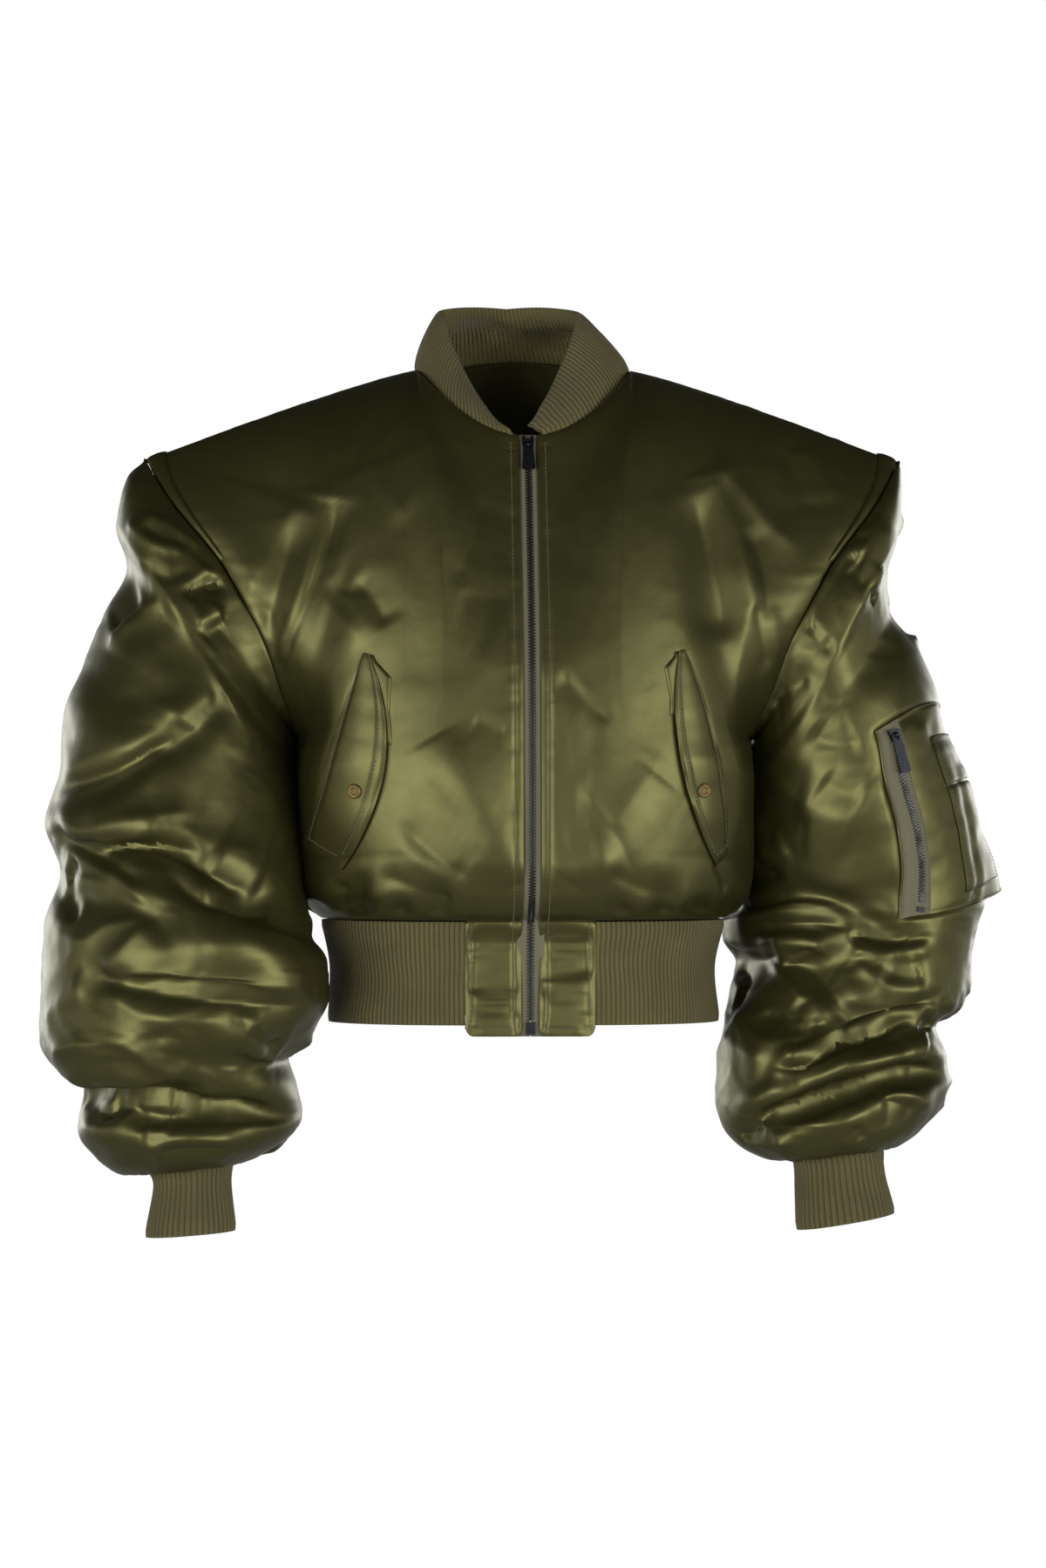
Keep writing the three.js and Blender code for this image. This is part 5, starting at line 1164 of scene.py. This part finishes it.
def under_pocket(s, phi):
    """1 on the cloth that the sleeve pocket covers."""
    turned = (phi + 180) % 360 - 180
    a = (POCKET["phi"][0] - turned) / (POCKET["phi"][0] - POCKET["phi"][1])
    b = (s - lerp(*POCKET["s_top"], a)) / (lerp(*POCKET["s_low"], a) - lerp(*POCKET["s_top"], a))
    inside = smooth((a + 0.03) / 0.05) * smooth((1.03 - a) / 0.05)
    return inside * smooth((b + 0.02) / 0.03) * smooth((1.02 - b) / 0.03)


def make_sleeve(name, side, table, fold_table, seen, hidden):
    last = table[-1]["s"]
    along = spaced((0, 12, 0.4), (0.4, int(SLEEVE_ROWS * last), last - 1), (last - 1, 20, last))
    turns = np.arange(SLEEVE_COLUMNS) * 360 / SLEEVE_COLUMNS
    s, phi = np.meshgrid(along, turns, indexing="ij")
    points = sleeve_surface(table, s, phi) * np.array([side, 1, 1])
    pressed = smooth(s - ARMPIT_PRESS["start"]) * smooth(ARMPIT_PRESS[name] - s)
    pressed = pressed * bell(phi, ARMPIT_PRESS["phi"], ARMPIT_PRESS["spread"])
    points[..., 0] -= side * ARMPIT_PRESS["depth"] * pressed
    middle = points.mean(1, keepdims=True)
    cloth = Cloth(points, along, turns, lambda p: p - middle, wrap=True)
    sine = np.sin(np.radians(phi))
    fade = smooth(s / 2) * smooth((last - s) / 2)
    folded = fold_height(fold_table, points[..., 0], points[..., 2], np.where(sine >= 0, -1, 1))
    cloth.lift(folded * abs(sine) ** 0.5 * fade)
    inside = under_pocket(s, phi) if side > 0 else np.zeros_like(s)
    cloth.renew()
    free = smooth(s / 0.6) * smooth((last - s) / 0.8) * (1 - inside)
    crumple(cloth, (1.4 + 1.0 * smooth(s / last * 1.6 - 0.3)) * free, 58, 51 + side, 1.5)
    cloth.renew()
    creases(cloth, seen, free, 61 + side)
    creases(cloth, hidden, free, 71 + side, back=True)
    head, end = cloth.from_start, cloth.from_end
    near = np.exp(-head / SLEEVE_HEAD["reach"]) * smooth(head / SLEEVE_HEAD["start"])
    height = SLEEVE_HEAD["pucker"] * ring_noise(phi, SLEEVE_HEAD["pitch"], 81 + side) * near
    height = height - SLEEVE_HEAD["dip"] * np.exp(-head / SLEEVE_HEAD["run"])
    tight = np.exp(-end / SLEEVE_END["reach"]) * smooth(end / SLEEVE_END["start"])
    gathers = SLEEVE_END["gather"] * ring_noise(phi, SLEEVE_END["pitch"], 91 + side)
    gathers = gathers + SLEEVE_END["fine"] * ring_noise(phi, SLEEVE_END["finePitch"], 95 + side)
    height = height + gathers * tight - SLEEVE_END["dip"] * np.exp(-end / SLEEVE_END["run"])
    cloth.lift(height - 1.0 * inside)
    cloth.renew()
    dress(
        cloth_shell(f"sleeve_{name}_cloth", cloth, SATIN_WALL, step=(3, 3)), SATIN, "satin", f"sleeve_{name}",
        flat=(0.66, 0.7), area=0.36, on=[f"front_{name}_cloth", "back_cloth"],
    )
    return cloth


make_sleeve(
    "right", -1, RIGHT_SLEEVE, RIGHT_SLEEVE_FOLDS, RIGHT_SLEEVE_CREASES, mirrored(LEFT_SLEEVE_CREASES, -6)
)
LEFT_CLOTH = make_sleeve(
    "left", 1, LEFT_SLEEVE, LEFT_SLEEVE_FOLDS, LEFT_SLEEVE_CREASES, mirrored(RIGHT_SLEEVE_CREASES, 8)
)

# Ribbed knit. A band's ribs are raised, its free edge is rounded and its foot sinks into the seam.
PER_RIB = 8
BANDS = rows(
    "name ribs edge ease round foot sink stitch wall",
    [
        ("cuff", 1.0, 2.2, 0.5, 0.9, 2.0, 1.2, 1.7, 2.6),
        ("collar", 0.85, 2.4, 0.6, 0.8, 1.8, 1.0, 1.6, 2.6),
        ("hem", 1.0, 2.6, 0.5, 0.9, 2.5, 1.4, 1.7, 3.0),
    ],
)
BANDS = {band["name"]: band for band in BANDS}


def rib_profile(phase):
    """Height of a rounded rib over its phase, with a narrow groove."""
    return 1.5 * (abs(np.cos(np.pi * phase)) ** 0.55) - 0.9


def knit(cloth, band, phase, extra):
    """Raises a band's ribs and returns where its stitches lie."""
    rim = np.exp(-cloth.from_end / band["edge"])
    height = band["ribs"] * rib_profile(phase) * (1 - band["ease"] * rim) - band["round"] * rim
    cloth.lift(height + extra - band["sink"] * np.exp(-cloth.from_start / band["foot"]))
    cloth.renew()
    return np.stack([phase, cloth.from_start / band["stitch"]], -1)


def path_marks(path, count):
    """Parameters that divide a path evenly."""
    length = np.concatenate([[0], np.cumsum(np.linalg.norm(np.diff(path, axis=0), axis=1))])
    return np.interp(np.linspace(0, length[-1], count + 1), length, np.linspace(0, 1, len(path)))


def make_cuff(name, side, table):
    girth = math.pi * (table[0]["depth"] + (table[0]["outX"] - table[0]["inX"]) / 2)
    ribs = round(girth / RIB["cuff"])
    turns = np.arange(ribs * PER_RIB) * 360 / (ribs * PER_RIB)
    along = spaced((0, 16, 2))
    s, phi = np.meshgrid(along, turns, indexing="ij")
    points = ring(reader(table, "s")(s), phi) * np.array([side, 1, 1])
    middle = points.mean(1, keepdims=True)
    cloth = Cloth(points, along, turns, lambda p: (p - middle) * np.array([1, 1, 0]), wrap=True)
    soft = 1.3 * ring_noise(phi, 2, 9, s) + 0.16 * ring_noise(phi, 3, 3, s * 1.2)
    uv = knit(cloth, BANDS["cuff"], phi / 360 * ribs, soft)
    inner = points - cloth.n * BANDS["cuff"]["wall"]
    dress(
        shell(f"cuff_{name}_knit", cloth.p, inner, True, step=(2, PER_RIB), uv=uv), KNIT, "rib_knit",
        f"cuff_{name}", flat=(0.245, 0.075), held="stretched", on=[f"sleeve_{name}_cloth"],
    )


make_cuff("right", -1, RIGHT_CUFF)
make_cuff("left", 1, LEFT_CUFF)


def neck_line():
    """The neck seam, from the zip on one side round the back to the other."""
    front_x = spaced((COLLAR_END, 60, NECK["half"]))
    back_x = spaced((NECK["half"], 60, 0))
    front = torso(-1, (front_x - ZIP_HALF) / PANEL_RUN, front_x * 0 + 1)
    half = np.concatenate([front, torso(1, back_x / TIP["x"], back_x * 0 + 1)[1:]])
    return np.concatenate([half, half[-2::-1] * np.array([-1, 1, 1])])


NECK_LINE = neck_line()
COLLAR_FOOT = dict(high=0.8, low=2.4, rise=6)


def collar_point(f, t):
    at = f * (len(NECK_LINE) - 1)
    base = np.stack([np.interp(at, np.arange(len(NECK_LINE)), NECK_LINE[:, k]) for k in range(3)], -1)
    base[..., 2] += COLLAR_FOOT["high"] - COLLAR_FOOT["low"] * (1 - smooth(t * COLLAR_FOOT["rise"]))
    deep = np.where(base[..., 1] < NECK["y"], NECK["frontReach"], NECK["backReach"])
    turn = np.degrees(np.arctan2(abs(base[..., 0]) / NECK["half"], (NECK["y"] - base[..., 1]) / deep))
    shape = collar_at(turn)
    inward = unit(np.stack([-base[..., 0], NECK["y"] - base[..., 1], 0 * at], -1))
    tilt = np.radians(shape["lean"]) * (0.6 + 0.4 * t)
    out = base + inward * (shape["width"] * t * np.sin(tilt))[..., None]
    out[..., 0] += COLLAR_SHIFT * t
    out[..., 2] += shape["width"] * t * np.cos(tilt)
    return out


def rib_marks(path, pitch):
    """Marks along a path, PER_RIB of them to each rib."""
    length = np.linalg.norm(np.diff(path, axis=0), axis=1).sum()
    return path_marks(path, round(length / pitch) * PER_RIB)


def make_collar():
    marks = rib_marks(NECK_LINE, RIB["collar"])
    t, f = np.meshgrid(spaced((0, 18, 1)), marks, indexing="ij")
    points = collar_point(f, t)
    centre = np.array([0, NECK["y"], 0])
    cloth = Cloth(points, t[:, 0], marks, lambda p: (p - centre) * np.array([1, 1, 0]))
    phase = np.broadcast_to(np.arange(len(marks)) / PER_RIB, t.shape)
    sway = 0.35 * noise_at(phase / 14, t * 2.5, 3, 15)
    soft = 0.8 * noise_at(phase / 9, t * 2, 0, 14)
    uv = knit(cloth, BANDS["collar"], phase + sway * smooth(t * 3), soft + 0.2)
    inner = points - cloth.n * (BANDS["collar"]["wall"] + 0.7 * rib_profile(phase + 0.5))[..., None]
    dress(
        shell("collar_knit", cloth.p, inner, step=(2, 2), uv=uv), KNIT, "rib_knit", "collar",
        flat=(0.5, 0.062), area=0.0255, held="stretched", on=["back_cloth"],
    )


make_collar()
HEM_GAP = 0.4


def hem_point(f, drop):
    half = np.where(f < 0.5, -1, 1)
    run = abs(f - 0.5) * 4
    front = run > 1
    u = np.where(front, lerp(1, TAB_U, run - 1), run)
    row = hem_at(drop)
    inner = np.where(front, ZIP_HALF, 0)
    turn = math.radians(TURN["low"])
    x = inner + (row["half"] - inner) * np.sin(turn * u) / math.sin(turn)
    turned = ((1 - np.cos(turn * u)) / (1 - math.cos(turn))) ** FLATNESS
    y = np.where(front, -row["front"], row["back"]) * (1 - turned)
    tab_x = float(torso(-1, TAB_U, 0.0)[0])
    scale = (row["half"] - ZIP_HALF) / (HEM_BAND[0]["half"] - ZIP_HALF)
    out = (tab_x + HEM_GAP - ZIP_HALF - (tab_x - ZIP_HALF) * scale) * smooth(run - 1)
    return np.stack([half * (x + out), y, HEM_Z - HEM_GAP - drop], -1)


def make_hem_band():
    marks = rib_marks(hem_point(np.linspace(0, 1, 900), np.zeros(900)), RIB["hem"])
    drop, f = np.meshgrid(spaced((0, 16, HEM_BAND[-1]["drop"])), marks, indexing="ij")
    points = hem_point(f, drop)
    cloth = Cloth(points, drop[:, 0], marks, lambda p: p * np.array([1, 1, 0]))
    phase = np.broadcast_to(np.arange(len(marks)) / PER_RIB, drop.shape)
    sway = 0.3 * noise_at(phase / 17, drop / 30, 3, 25)
    soft = 1.5 * noise_at(phase / 11, drop / 45, 0, 24)
    uv = knit(cloth, BANDS["hem"], phase + sway * smooth(drop / 15), soft * smooth(drop / 12) - 0.5)
    inner = points - cloth.n * BANDS["hem"]["wall"]
    dress(
        shell("hem_band_knit", cloth.p, inner, step=(3, PER_RIB), uv=uv), KNIT, "rib_knit", "hem_band",
        flat=(0.86, 0.089), held="stretched", on=["back_cloth", "front_right_cloth", "front_left_cloth"],
    )


make_hem_band()


# Pieces that lie on a cloth.
def level(height):
    """The same height all over a patch."""
    return lambda a, b: height + 0 * a


def patch(name, base, a_count, b_count, place, lift, thick, on, flat, area=None, cover=None, uv=None):
    """A piece laid on a cloth: place gives its row and column there, lift and thick its two faces."""
    b, a = np.meshgrid(spaced((0, b_count, 1)), spaced((0, a_count, 1)), indexing="ij")
    p, n = base.at(*place(a, b))
    under = p + n * lift(a, b)[..., None]
    over = under + n * thick(a, b)[..., None]
    top = Cloth(over, b[:, 0], a[0], lambda q: n)
    obj = shell(name, over, under, step=(2, 2), uv=None if uv is None else uv(top))
    mat, slot = cover or (SATIN, "satin")
    dress(obj, mat, slot, name.rsplit("_", 1)[0], flat=flat, area=area, held="laid", on=[on])
    return top


STITCH_MESH = ([], [])
STITCH_SECTIONS = ((0, 0.25), (0.16, 1), (0.84, 1), (1, 0.25))
FINE_STITCH = dict(length=2.4, gap=0.8)


def along_line(line):
    """A reader of arrays that go with a line's points, by the distance along it."""
    d = np.concatenate([[0], np.cumsum(np.linalg.norm(np.diff(line, axis=0), axis=1))])
    return d[-1], lambda s, values: np.stack([np.interp(s, d, values[:, k]) for k in range(3)], -1)


def stitch(cloth, row, col, length=3.0, gap=0.9, radius=0.42, raised=0.12):
    """Stitches along a line that lies on a cloth."""
    points, normals = cloth.at(row, col)
    end, along = along_line(points)
    vertices, faces = STITCH_MESH
    for start in np.arange(0.5, end - length, length + gap):
        stops = np.array([share for share, _ in STITCH_SECTIONS]) * length + start
        p, n = along(stops, points), unit(along(stops, normals))
        tangent = unit(p[-1] - p[0])
        base = len(vertices)
        for k, (_, size) in enumerate(STITCH_SECTIONS):
            across = unit(np.cross(n[k], tangent)) * radius * size
            top = n[k] * (radius * size + raised)
            vertices += [p[k] - across, p[k] + top - across * 0.5, p[k] + top + across * 0.5, p[k] + across]
        for k in range(3):
            o = base + 4 * k
            faces += [[o + j, o + j + 1, o + 5 + j, o + 4 + j] for j in range(3)]
            faces.append([o + 3, o, o + 4, o + 7])
        faces += [[base + 3, base + 2, base + 1, base], [base + 12, base + 13, base + 14, base + 15]]


def rounded_edge(a, b, power=6):
    """Full in the middle of a patch and falling to its edges."""
    return (1 - abs(2 * a - 1) ** power) * (1 - abs(2 * b - 1) ** (power * 3))


FLAP_STITCH = dict(free=0.84, sewn=0.1, low=0.955)
FLAP_PUFF = dict(edge=1.7, soft=3.6, wave=1.5, fine=0.5, groove=1.0)
WELT_CORNER = 0.25


def make_flap(name, side, flap):
    def place(a, b):
        (sx, sz), (fx, fz) = edge_point(flap["sewn"], b), edge_point(flap["free"], b)
        return front_at(lerp(sx, fx, a), lerp(sz, fz, a))[::-1]

    def puff(a, b):
        soft = FLAP_PUFF["soft"] * np.sin(np.pi * a) ** 0.7 * np.sin(np.pi * b) ** 0.5
        wave = FLAP_PUFF["wave"] * line_noise(b * 7 + 0.4 * a, 130 + side)
        wave = wave + FLAP_PUFF["fine"] * line_noise(b * 15, 131 + side)
        sewn = bell(a, FLAP_STITCH["free"], 0.035) + bell(a, FLAP_STITCH["sewn"], 0.05)
        wave = (wave - FLAP_PUFF["groove"] * sewn) * np.sin(np.pi * b) ** 0.5
        return FLAP_PUFF["edge"] + (soft + wave) * faded(a, 0.06, 0.05)

    top = patch(
        f"pocket_flap_{name}_cloth", FRONTS[name], 34, 90, place,
        lambda a, b: 1.0 + 3.0 * a * a * np.sin(np.pi * b), puff, f"front_{name}_cloth",
        flat=(0.062, 0.195), area=flap["area"],
    )
    for a, start, end in ((FLAP_STITCH["free"], 0.03, 0.95), (FLAP_STITCH["sewn"], 0.04, 0.97)):
        b = np.linspace(start, end, 150)
        stitch(top, b, a + 0 * b)
    a = np.linspace(0.12, 0.82, 60)
    stitch(top, FLAP_STITCH["low"] + 0 * a, a)


def make_welt(name, flap):
    free, welt = flap["free"], flap["welt"]
    corner_x = edge_point(free, welt["end"])[0]

    def place(a, b):
        fx, fz = edge_point(free, welt["end"] * b)
        out = np.where(
            b < WELT_CORNER,
            lerp(free["x1"], welt["x"], b / WELT_CORNER),
            lerp(welt["x"], corner_x, (b - WELT_CORNER) / (1 - WELT_CORNER)),
        )
        return front_at(lerp(fx + 3, np.minimum(out, fx - 3), a), fz)[::-1]

    patch(
        f"pocket_welt_{name}_cloth", FRONTS[name], 10, 44, place, level(0.3),
        lambda a, b: 0.5 + 1.5 * rounded_edge(a, b, 4), f"front_{name}_cloth",
        flat=(0.022, 0.08), area=welt["area"],
    )


def make_tuck(name, part, base, sign, on):
    def place(a, b):
        width = lerp(lerp(TUCK["top"], TUCK["end"], b), 0.2, a) / PANEL_RUN
        return armhole_level(TUCK["endAngle"] * b), (1 - width) * sign

    patch(
        f"armhole_tuck_{part}_{name}_cloth", base, 12, 60, place, level(0.4),
        lambda a, b: 0.4 + 2.4 * rounded_edge(a, b, 4) ** 0.7, on, flat=(0.018, 0.17), area=0.002,
    )


ZIP_STITCH = dict(away=7.2, from_v=-0.97, to_v=0.985)
TAB_STITCH = dict(low=-0.935, side=0.885, end=0.88, top=-0.03, bottom=-0.93)


def stitch_front(cloth):
    """Topstitching beside the zip, along the tab's lower edge and up its side."""
    v = np.linspace(ZIP_STITCH["from_v"], ZIP_STITCH["to_v"], 700)
    line_u = np.array([np.interp(ZIP_STITCH["away"], row, FRONT_U) for row in cloth.from_left])
    stitch(cloth, v, np.interp(v, FRONT_V, line_u), length=2.6, gap=0.7)
    start = np.interp(ZIP_STITCH["away"], cloth.from_left[2], FRONT_U)
    u = np.linspace(start, TAB_U * TAB_STITCH["end"], 60)
    stitch(cloth, TAB_STITCH["low"] + 0 * u, u)
    v = np.linspace(TAB_STITCH["bottom"], TAB_STITCH["top"], 120)
    stitch(cloth, v, TAB_U * TAB_STITCH["side"] + 0 * v)


for name, side in SIDES:
    flap = RIGHT_FLAP if side < 0 else LEFT_FLAP
    make_flap(name, side, flap)
    make_welt(name, flap)
    make_tuck(name, "front", FRONTS[name], 1, f"front_{name}_cloth")
    make_tuck(name, "back", BACK, side, "back_cloth")
    stitch_front(FRONTS[name])


# Sleeve pocket with its pen pocket.
def pocket_place(a, b):
    return lerp(lerp(*POCKET["s_top"], a), lerp(*POCKET["s_low"], a), b), lerp(*POCKET["phi"], a) % 360


def pocket_lift(a, b):
    return POCKET["lift"] + POCKET["corner"] * smooth((a - 0.6) / 0.4) * smooth((b - 0.55) / 0.45)


def pocket_thick(a, b):
    soft = 3.0 * np.sin(np.pi * a) ** 0.6 * np.sin(np.pi * b) ** 0.6
    wave = noise_at(a * 4, b * 7, 0, 141) * 1.6 + noise_at(a * 9, b * 16, 0, 142) * 0.5
    trough = -2.2 * bell(a + 0.06 * b, 0.56, 0.045) * smooth((b - 0.25) / 0.3)
    return 1.6 + (soft + wave + trough) * faded(a, 0.05, 0.05) * faded(b, 0.03, 0.04)


POCKET_TOP = patch(
    "sleeve_pocket_cloth", LEFT_CLOTH, 70, 90, pocket_place, pocket_lift, pocket_thick, "sleeve_left_cloth",
    flat=(0.185, 0.185), area=0.031,
)
stitch(POCKET_TOP, np.linspace(0.02, 0.98, 80), np.full(80, 0.985))
for row in (0.012, 0.985):
    stitch(POCKET_TOP, np.full(80, row), np.linspace(0.3, 0.97, 80))

PEN_COLUMNS = (2.4 / 6, 5 / 6)
PEN_SEAM = 0.07 / 12
PEN = rows(
    "name start end length stitched",
    [("top", 2 / 12, 5 / 12 - PEN_SEAM, 0.058, 0.03), ("body", 5 / 12 + PEN_SEAM, 11 / 12, 0.122, 0.97)],
)


def pen_thick(a, b):
    wave = 0.5 * line_noise(b * 6, 151) * rounded_edge(a, b, 3)
    return 0.5 + 1.5 * rounded_edge(a, b, 8) + wave


for pen in PEN:
    top = patch(
        f"pen_pocket_{pen['name']}_cloth", POCKET_TOP, 26, 50,
        lambda a, b: (lerp(pen["start"], pen["end"], b), lerp(*PEN_COLUMNS, a)),
        level(0.4), pen_thick, "sleeve_pocket_cloth", flat=(0.058, pen["length"]),
    )
    b = np.linspace(0.03, 0.97, 60)
    for a in (0.05, 0.95):
        stitch(top, b, a + 0 * b, **FINE_STITCH, radius=0.34)
    a = np.linspace(0.06, 0.94, 30)
    stitch(top, pen["stitched"] + 0 * a, a, **FINE_STITCH)


# Front zip: tapes and teeth under the satin's edges.
TAPE_FORM = dict(depth=2.3, under=0.9, turn=6.4, over=1.6, bead=0.3, at=3.4, width=0.8, wall=0.9)
TEETH = rows(
    "name node pitch half reach thick height",
    [
        ("zip_teeth", "zip_chain", 2.7, 2.9, 0.9, 2.3, 1.5),
        ("sleeve_zip_teeth", "sleeve_zip_chain", 2.7, 2.6, 0.85, 2.2, 1.5),
    ],
)


def centre_line(x, v, depth, step=0.004):
    """Points at x on the centre front, depth under the satin, and the outward normal there."""
    d = front_surface(v * 0, np.minimum(v + step, 1)) - front_surface(v * 0, np.maximum(v - step, -1))
    n = unit(np.stack([0 * v, -d[..., 2], d[..., 1]], -1))
    p = front_surface(v * 0, v)
    p[..., 0] = x
    return p - n * np.broadcast_to(depth, v.shape)[..., None], n


for name, side in SIDES:
    x, v = np.meshgrid(spaced((0.2, 12, 12)), spaced((-1, 60, 0), (0, 150, 1)))
    depth = TAPE_FORM["depth"] + TAPE_FORM["under"] * smooth((x - TAPE_FORM["turn"]) / TAPE_FORM["over"])
    depth = depth - TAPE_FORM["bead"] * bell(x, TAPE_FORM["at"], TAPE_FORM["width"])
    over, n = centre_line(x * side, v, depth)
    length = np.concatenate([[0], np.cumsum(np.linalg.norm(np.diff(over[:, 0], axis=0), axis=1))])
    uv = np.stack([x, np.broadcast_to(length[:, None], x.shape)], -1)
    dress(
        shell(f"zip_tape_{name}_weave", over, over - n * TAPE_FORM["wall"], step=(3, 4), uv=uv),
        TAPE, "zip_tape", f"zip_tape_{name}", flat=(0.0118, 0.56), on=[f"front_{name}_cloth"],
    )


def make_teeth(form, points, normals):
    """Interlocking teeth on both sides of a line, each an eight-cornered block with a bevelled top."""
    pitch, half, reach, thick, height = (form[k] for k in ("pitch", "half", "reach", "thick", "height"))
    end, along = along_line(points)
    outline = ((-reach, 0.34), (-reach * 0.35, 0.5), (half * 0.45, 0.36), (half, 0.5))
    vertices, faces = [], []
    for k, s in enumerate(np.arange(pitch / 2, end - pitch / 2, pitch / 2)):
        side = 1 if k % 2 else -1
        p, n = along(s, points), unit(along(s, normals))
        up = unit(along(s + 0.5, points) - along(s - 0.5, points))
        x = unit(np.cross(up, n)) * side
        base = len(vertices)
        for rise, shrink in ((0, 1.0), (thick * 0.72, 1.0), (thick, 0.7)):
            for sign, corners in ((1, outline), (-1, outline[::-1])):
                for a, b in corners:
                    across = x * lerp(half / 2, a, shrink)
                    vertices.append(p + across + up * sign * b * height * shrink + n * rise)
        made = [
            [o + j, o + (j + 1) % 8, o + 8 + (j + 1) % 8, o + 8 + j]
            for o in (base, base + 8)
            for j in range(8)
        ]
        made += [[base + j for j in reversed(range(8))], [base + 16 + j for j in range(8)]]
        faces += [face if side < 0 else face[::-1] for face in made]
    obj = make_mesh(form["name"], vertices, faces)
    obj.data.polygons.foreach_set("use_smooth", [False] * len(obj.data.polygons))
    dress(obj, TOOTH, "zip_metal", form["node"])


v = np.linspace(-0.87, 0.957, 500)
make_teeth(TEETH[0], *centre_line(0 * v, v, 2.7))

# Sleeve zip, on the pocket.
SLEEVE_TAPE = (0.06 / 6, 0.99 / 6)
top = patch(
    "sleeve_zip_tape_weave", POCKET_TOP, 16, 80, lambda a, b: (b, lerp(*SLEEVE_TAPE, a)), level(0.3),
    lambda a, b: 0.7 + 0.5 * bell(a, 0.6, 0.16), "sleeve_pocket_cloth", flat=(0.024, 0.165),
    cover=(TAPE, "zip_tape"), uv=lambda top: np.stack([top.from_left, top.from_start], -1),
)
b = np.linspace(0.02, 0.98, 120)
for a in (0.06, 0.94):
    stitch(top, b, a + 0 * b, length=2.2, gap=0.7, radius=0.34)
b = np.linspace(1.35 / 12, 11.15 / 12, 200)
points, normals = POCKET_TOP.at(b, lerp(0.1, 0.68 / 6, b))
make_teeth(TEETH[1], points + normals * 1.2, normals)
dress(make_mesh("stitches_body", *STITCH_MESH), THREAD, "satin")

# The metal pieces are the solids themselves.
ZIP_METAL = "zip_slider zip_pull zip_stop_right zip_stop_left zip_box".split()
ZIP_METAL += [f"sleeve_zip_{part}" for part in ("slider", "pull", "stop")]
for name in ZIP_METAL:
    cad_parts[name].data.materials[0] = METAL
for name, _ in SIDES:
    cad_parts[f"pocket_snap_{name}"].data.materials[0] = BRONZE


# Studio, in metres: pale floor, soft light and the camera at the photograph's angle.
def link(name, data, place=(0, 0, 0), aim=None):
    obj = bpy.data.objects.new(name, data)
    obj.location = place
    if aim is not None:
        obj.rotation_euler = (Vector(aim) - Vector(place)).to_track_quat("-Z", "Y").to_euler()
    bpy.context.scene.collection.objects.link(obj)
    return obj


def floor_material():
    """Pale, and clear towards its rim so that it has no edge."""
    mat, tree, shader = material("pale_floor", (0.82, 0.82, 0.81), 0.9)
    place = place_of(tree)
    away = node(tree, "ShaderNodeVectorMath", {0: place}, operation="LENGTH").outputs["Value"]
    join(tree, spread(tree, away, 1.0, 0.0, 1.2, 2.8), shader, "Alpha")
    return mat


FLOOR = dict(z=-1.45, radius=4.3, corners=64)
mesh = bpy.data.meshes.new("studio_floor")
turns = np.linspace(0, 2 * np.pi, FLOOR["corners"] + 1)[:-1]
circle = [(FLOOR["radius"] * math.cos(t), FLOOR["radius"] * math.sin(t), 0) for t in turns]
mesh.from_pydata(circle, [], [list(range(FLOOR["corners"]))])
mesh.materials.append(floor_material())
link("studio_floor", mesh, (0, 0, FLOOR["z"]))

SKY = (
    (0.0, 0.28), (0.3, 0.28), (0.39, 0.4), (0.43, 1.0), (0.57, 1.0), (0.61, 0.2), (0.75, 0.04), (1.0, 0.02),
)
world = bpy.data.worlds.new("studio")
world.use_nodes = True
bpy.context.scene.world = world
tree = world.node_tree
height = node(tree, "ShaderNodeSeparateXYZ", {"Vector": place_of(tree, "Generated")}).outputs["Z"]
sky = ramp(tree, spread(tree, height, 0.0, 1.0, -1.0, 1.0), [(at, (grey,) * 3) for at, grey in SKY])
tree.links.new(sky, tree.nodes["Background"].inputs["Color"])
tree.nodes["Background"].inputs["Strength"].default_value = 1.0


SOFTBOXES = rows(
    "name x y z width height power",
    [("front", 2.6, -3.4, -0.55, 3.0, 1.8, 118), ("back", 2.7, 3.4, -0.2, 1.8, 1.4, 32)],
)
LIGHT_AIM = (0, 0, -0.4)
for side in (-1, 1):
    for box in SOFTBOXES:
        light = bpy.data.lights.new(f"{box['name']}_softbox_{side}", "AREA")
        light.shape = "RECTANGLE"
        light.size, light.size_y = box["width"], box["height"]
        light.energy = box["power"]
        link(light.name, light, (box["x"] * side, box["y"], box["z"]), LIGHT_AIM)

CAMERA = dict(lens=143.06, sensor=36, place=(-0.288, -5.492, -0.366), aim=(0, 0, -0.366))
camera_data = bpy.data.cameras.new("camera")
camera_data.lens = CAMERA["lens"]
camera_data.sensor_width = CAMERA["sensor"]
bpy.context.scene.camera = link("camera", camera_data, CAMERA["place"], CAMERA["aim"])
bpy.context.scene.view_settings.view_transform = "Standard"
bpy.context.scene.view_settings.look = "None"
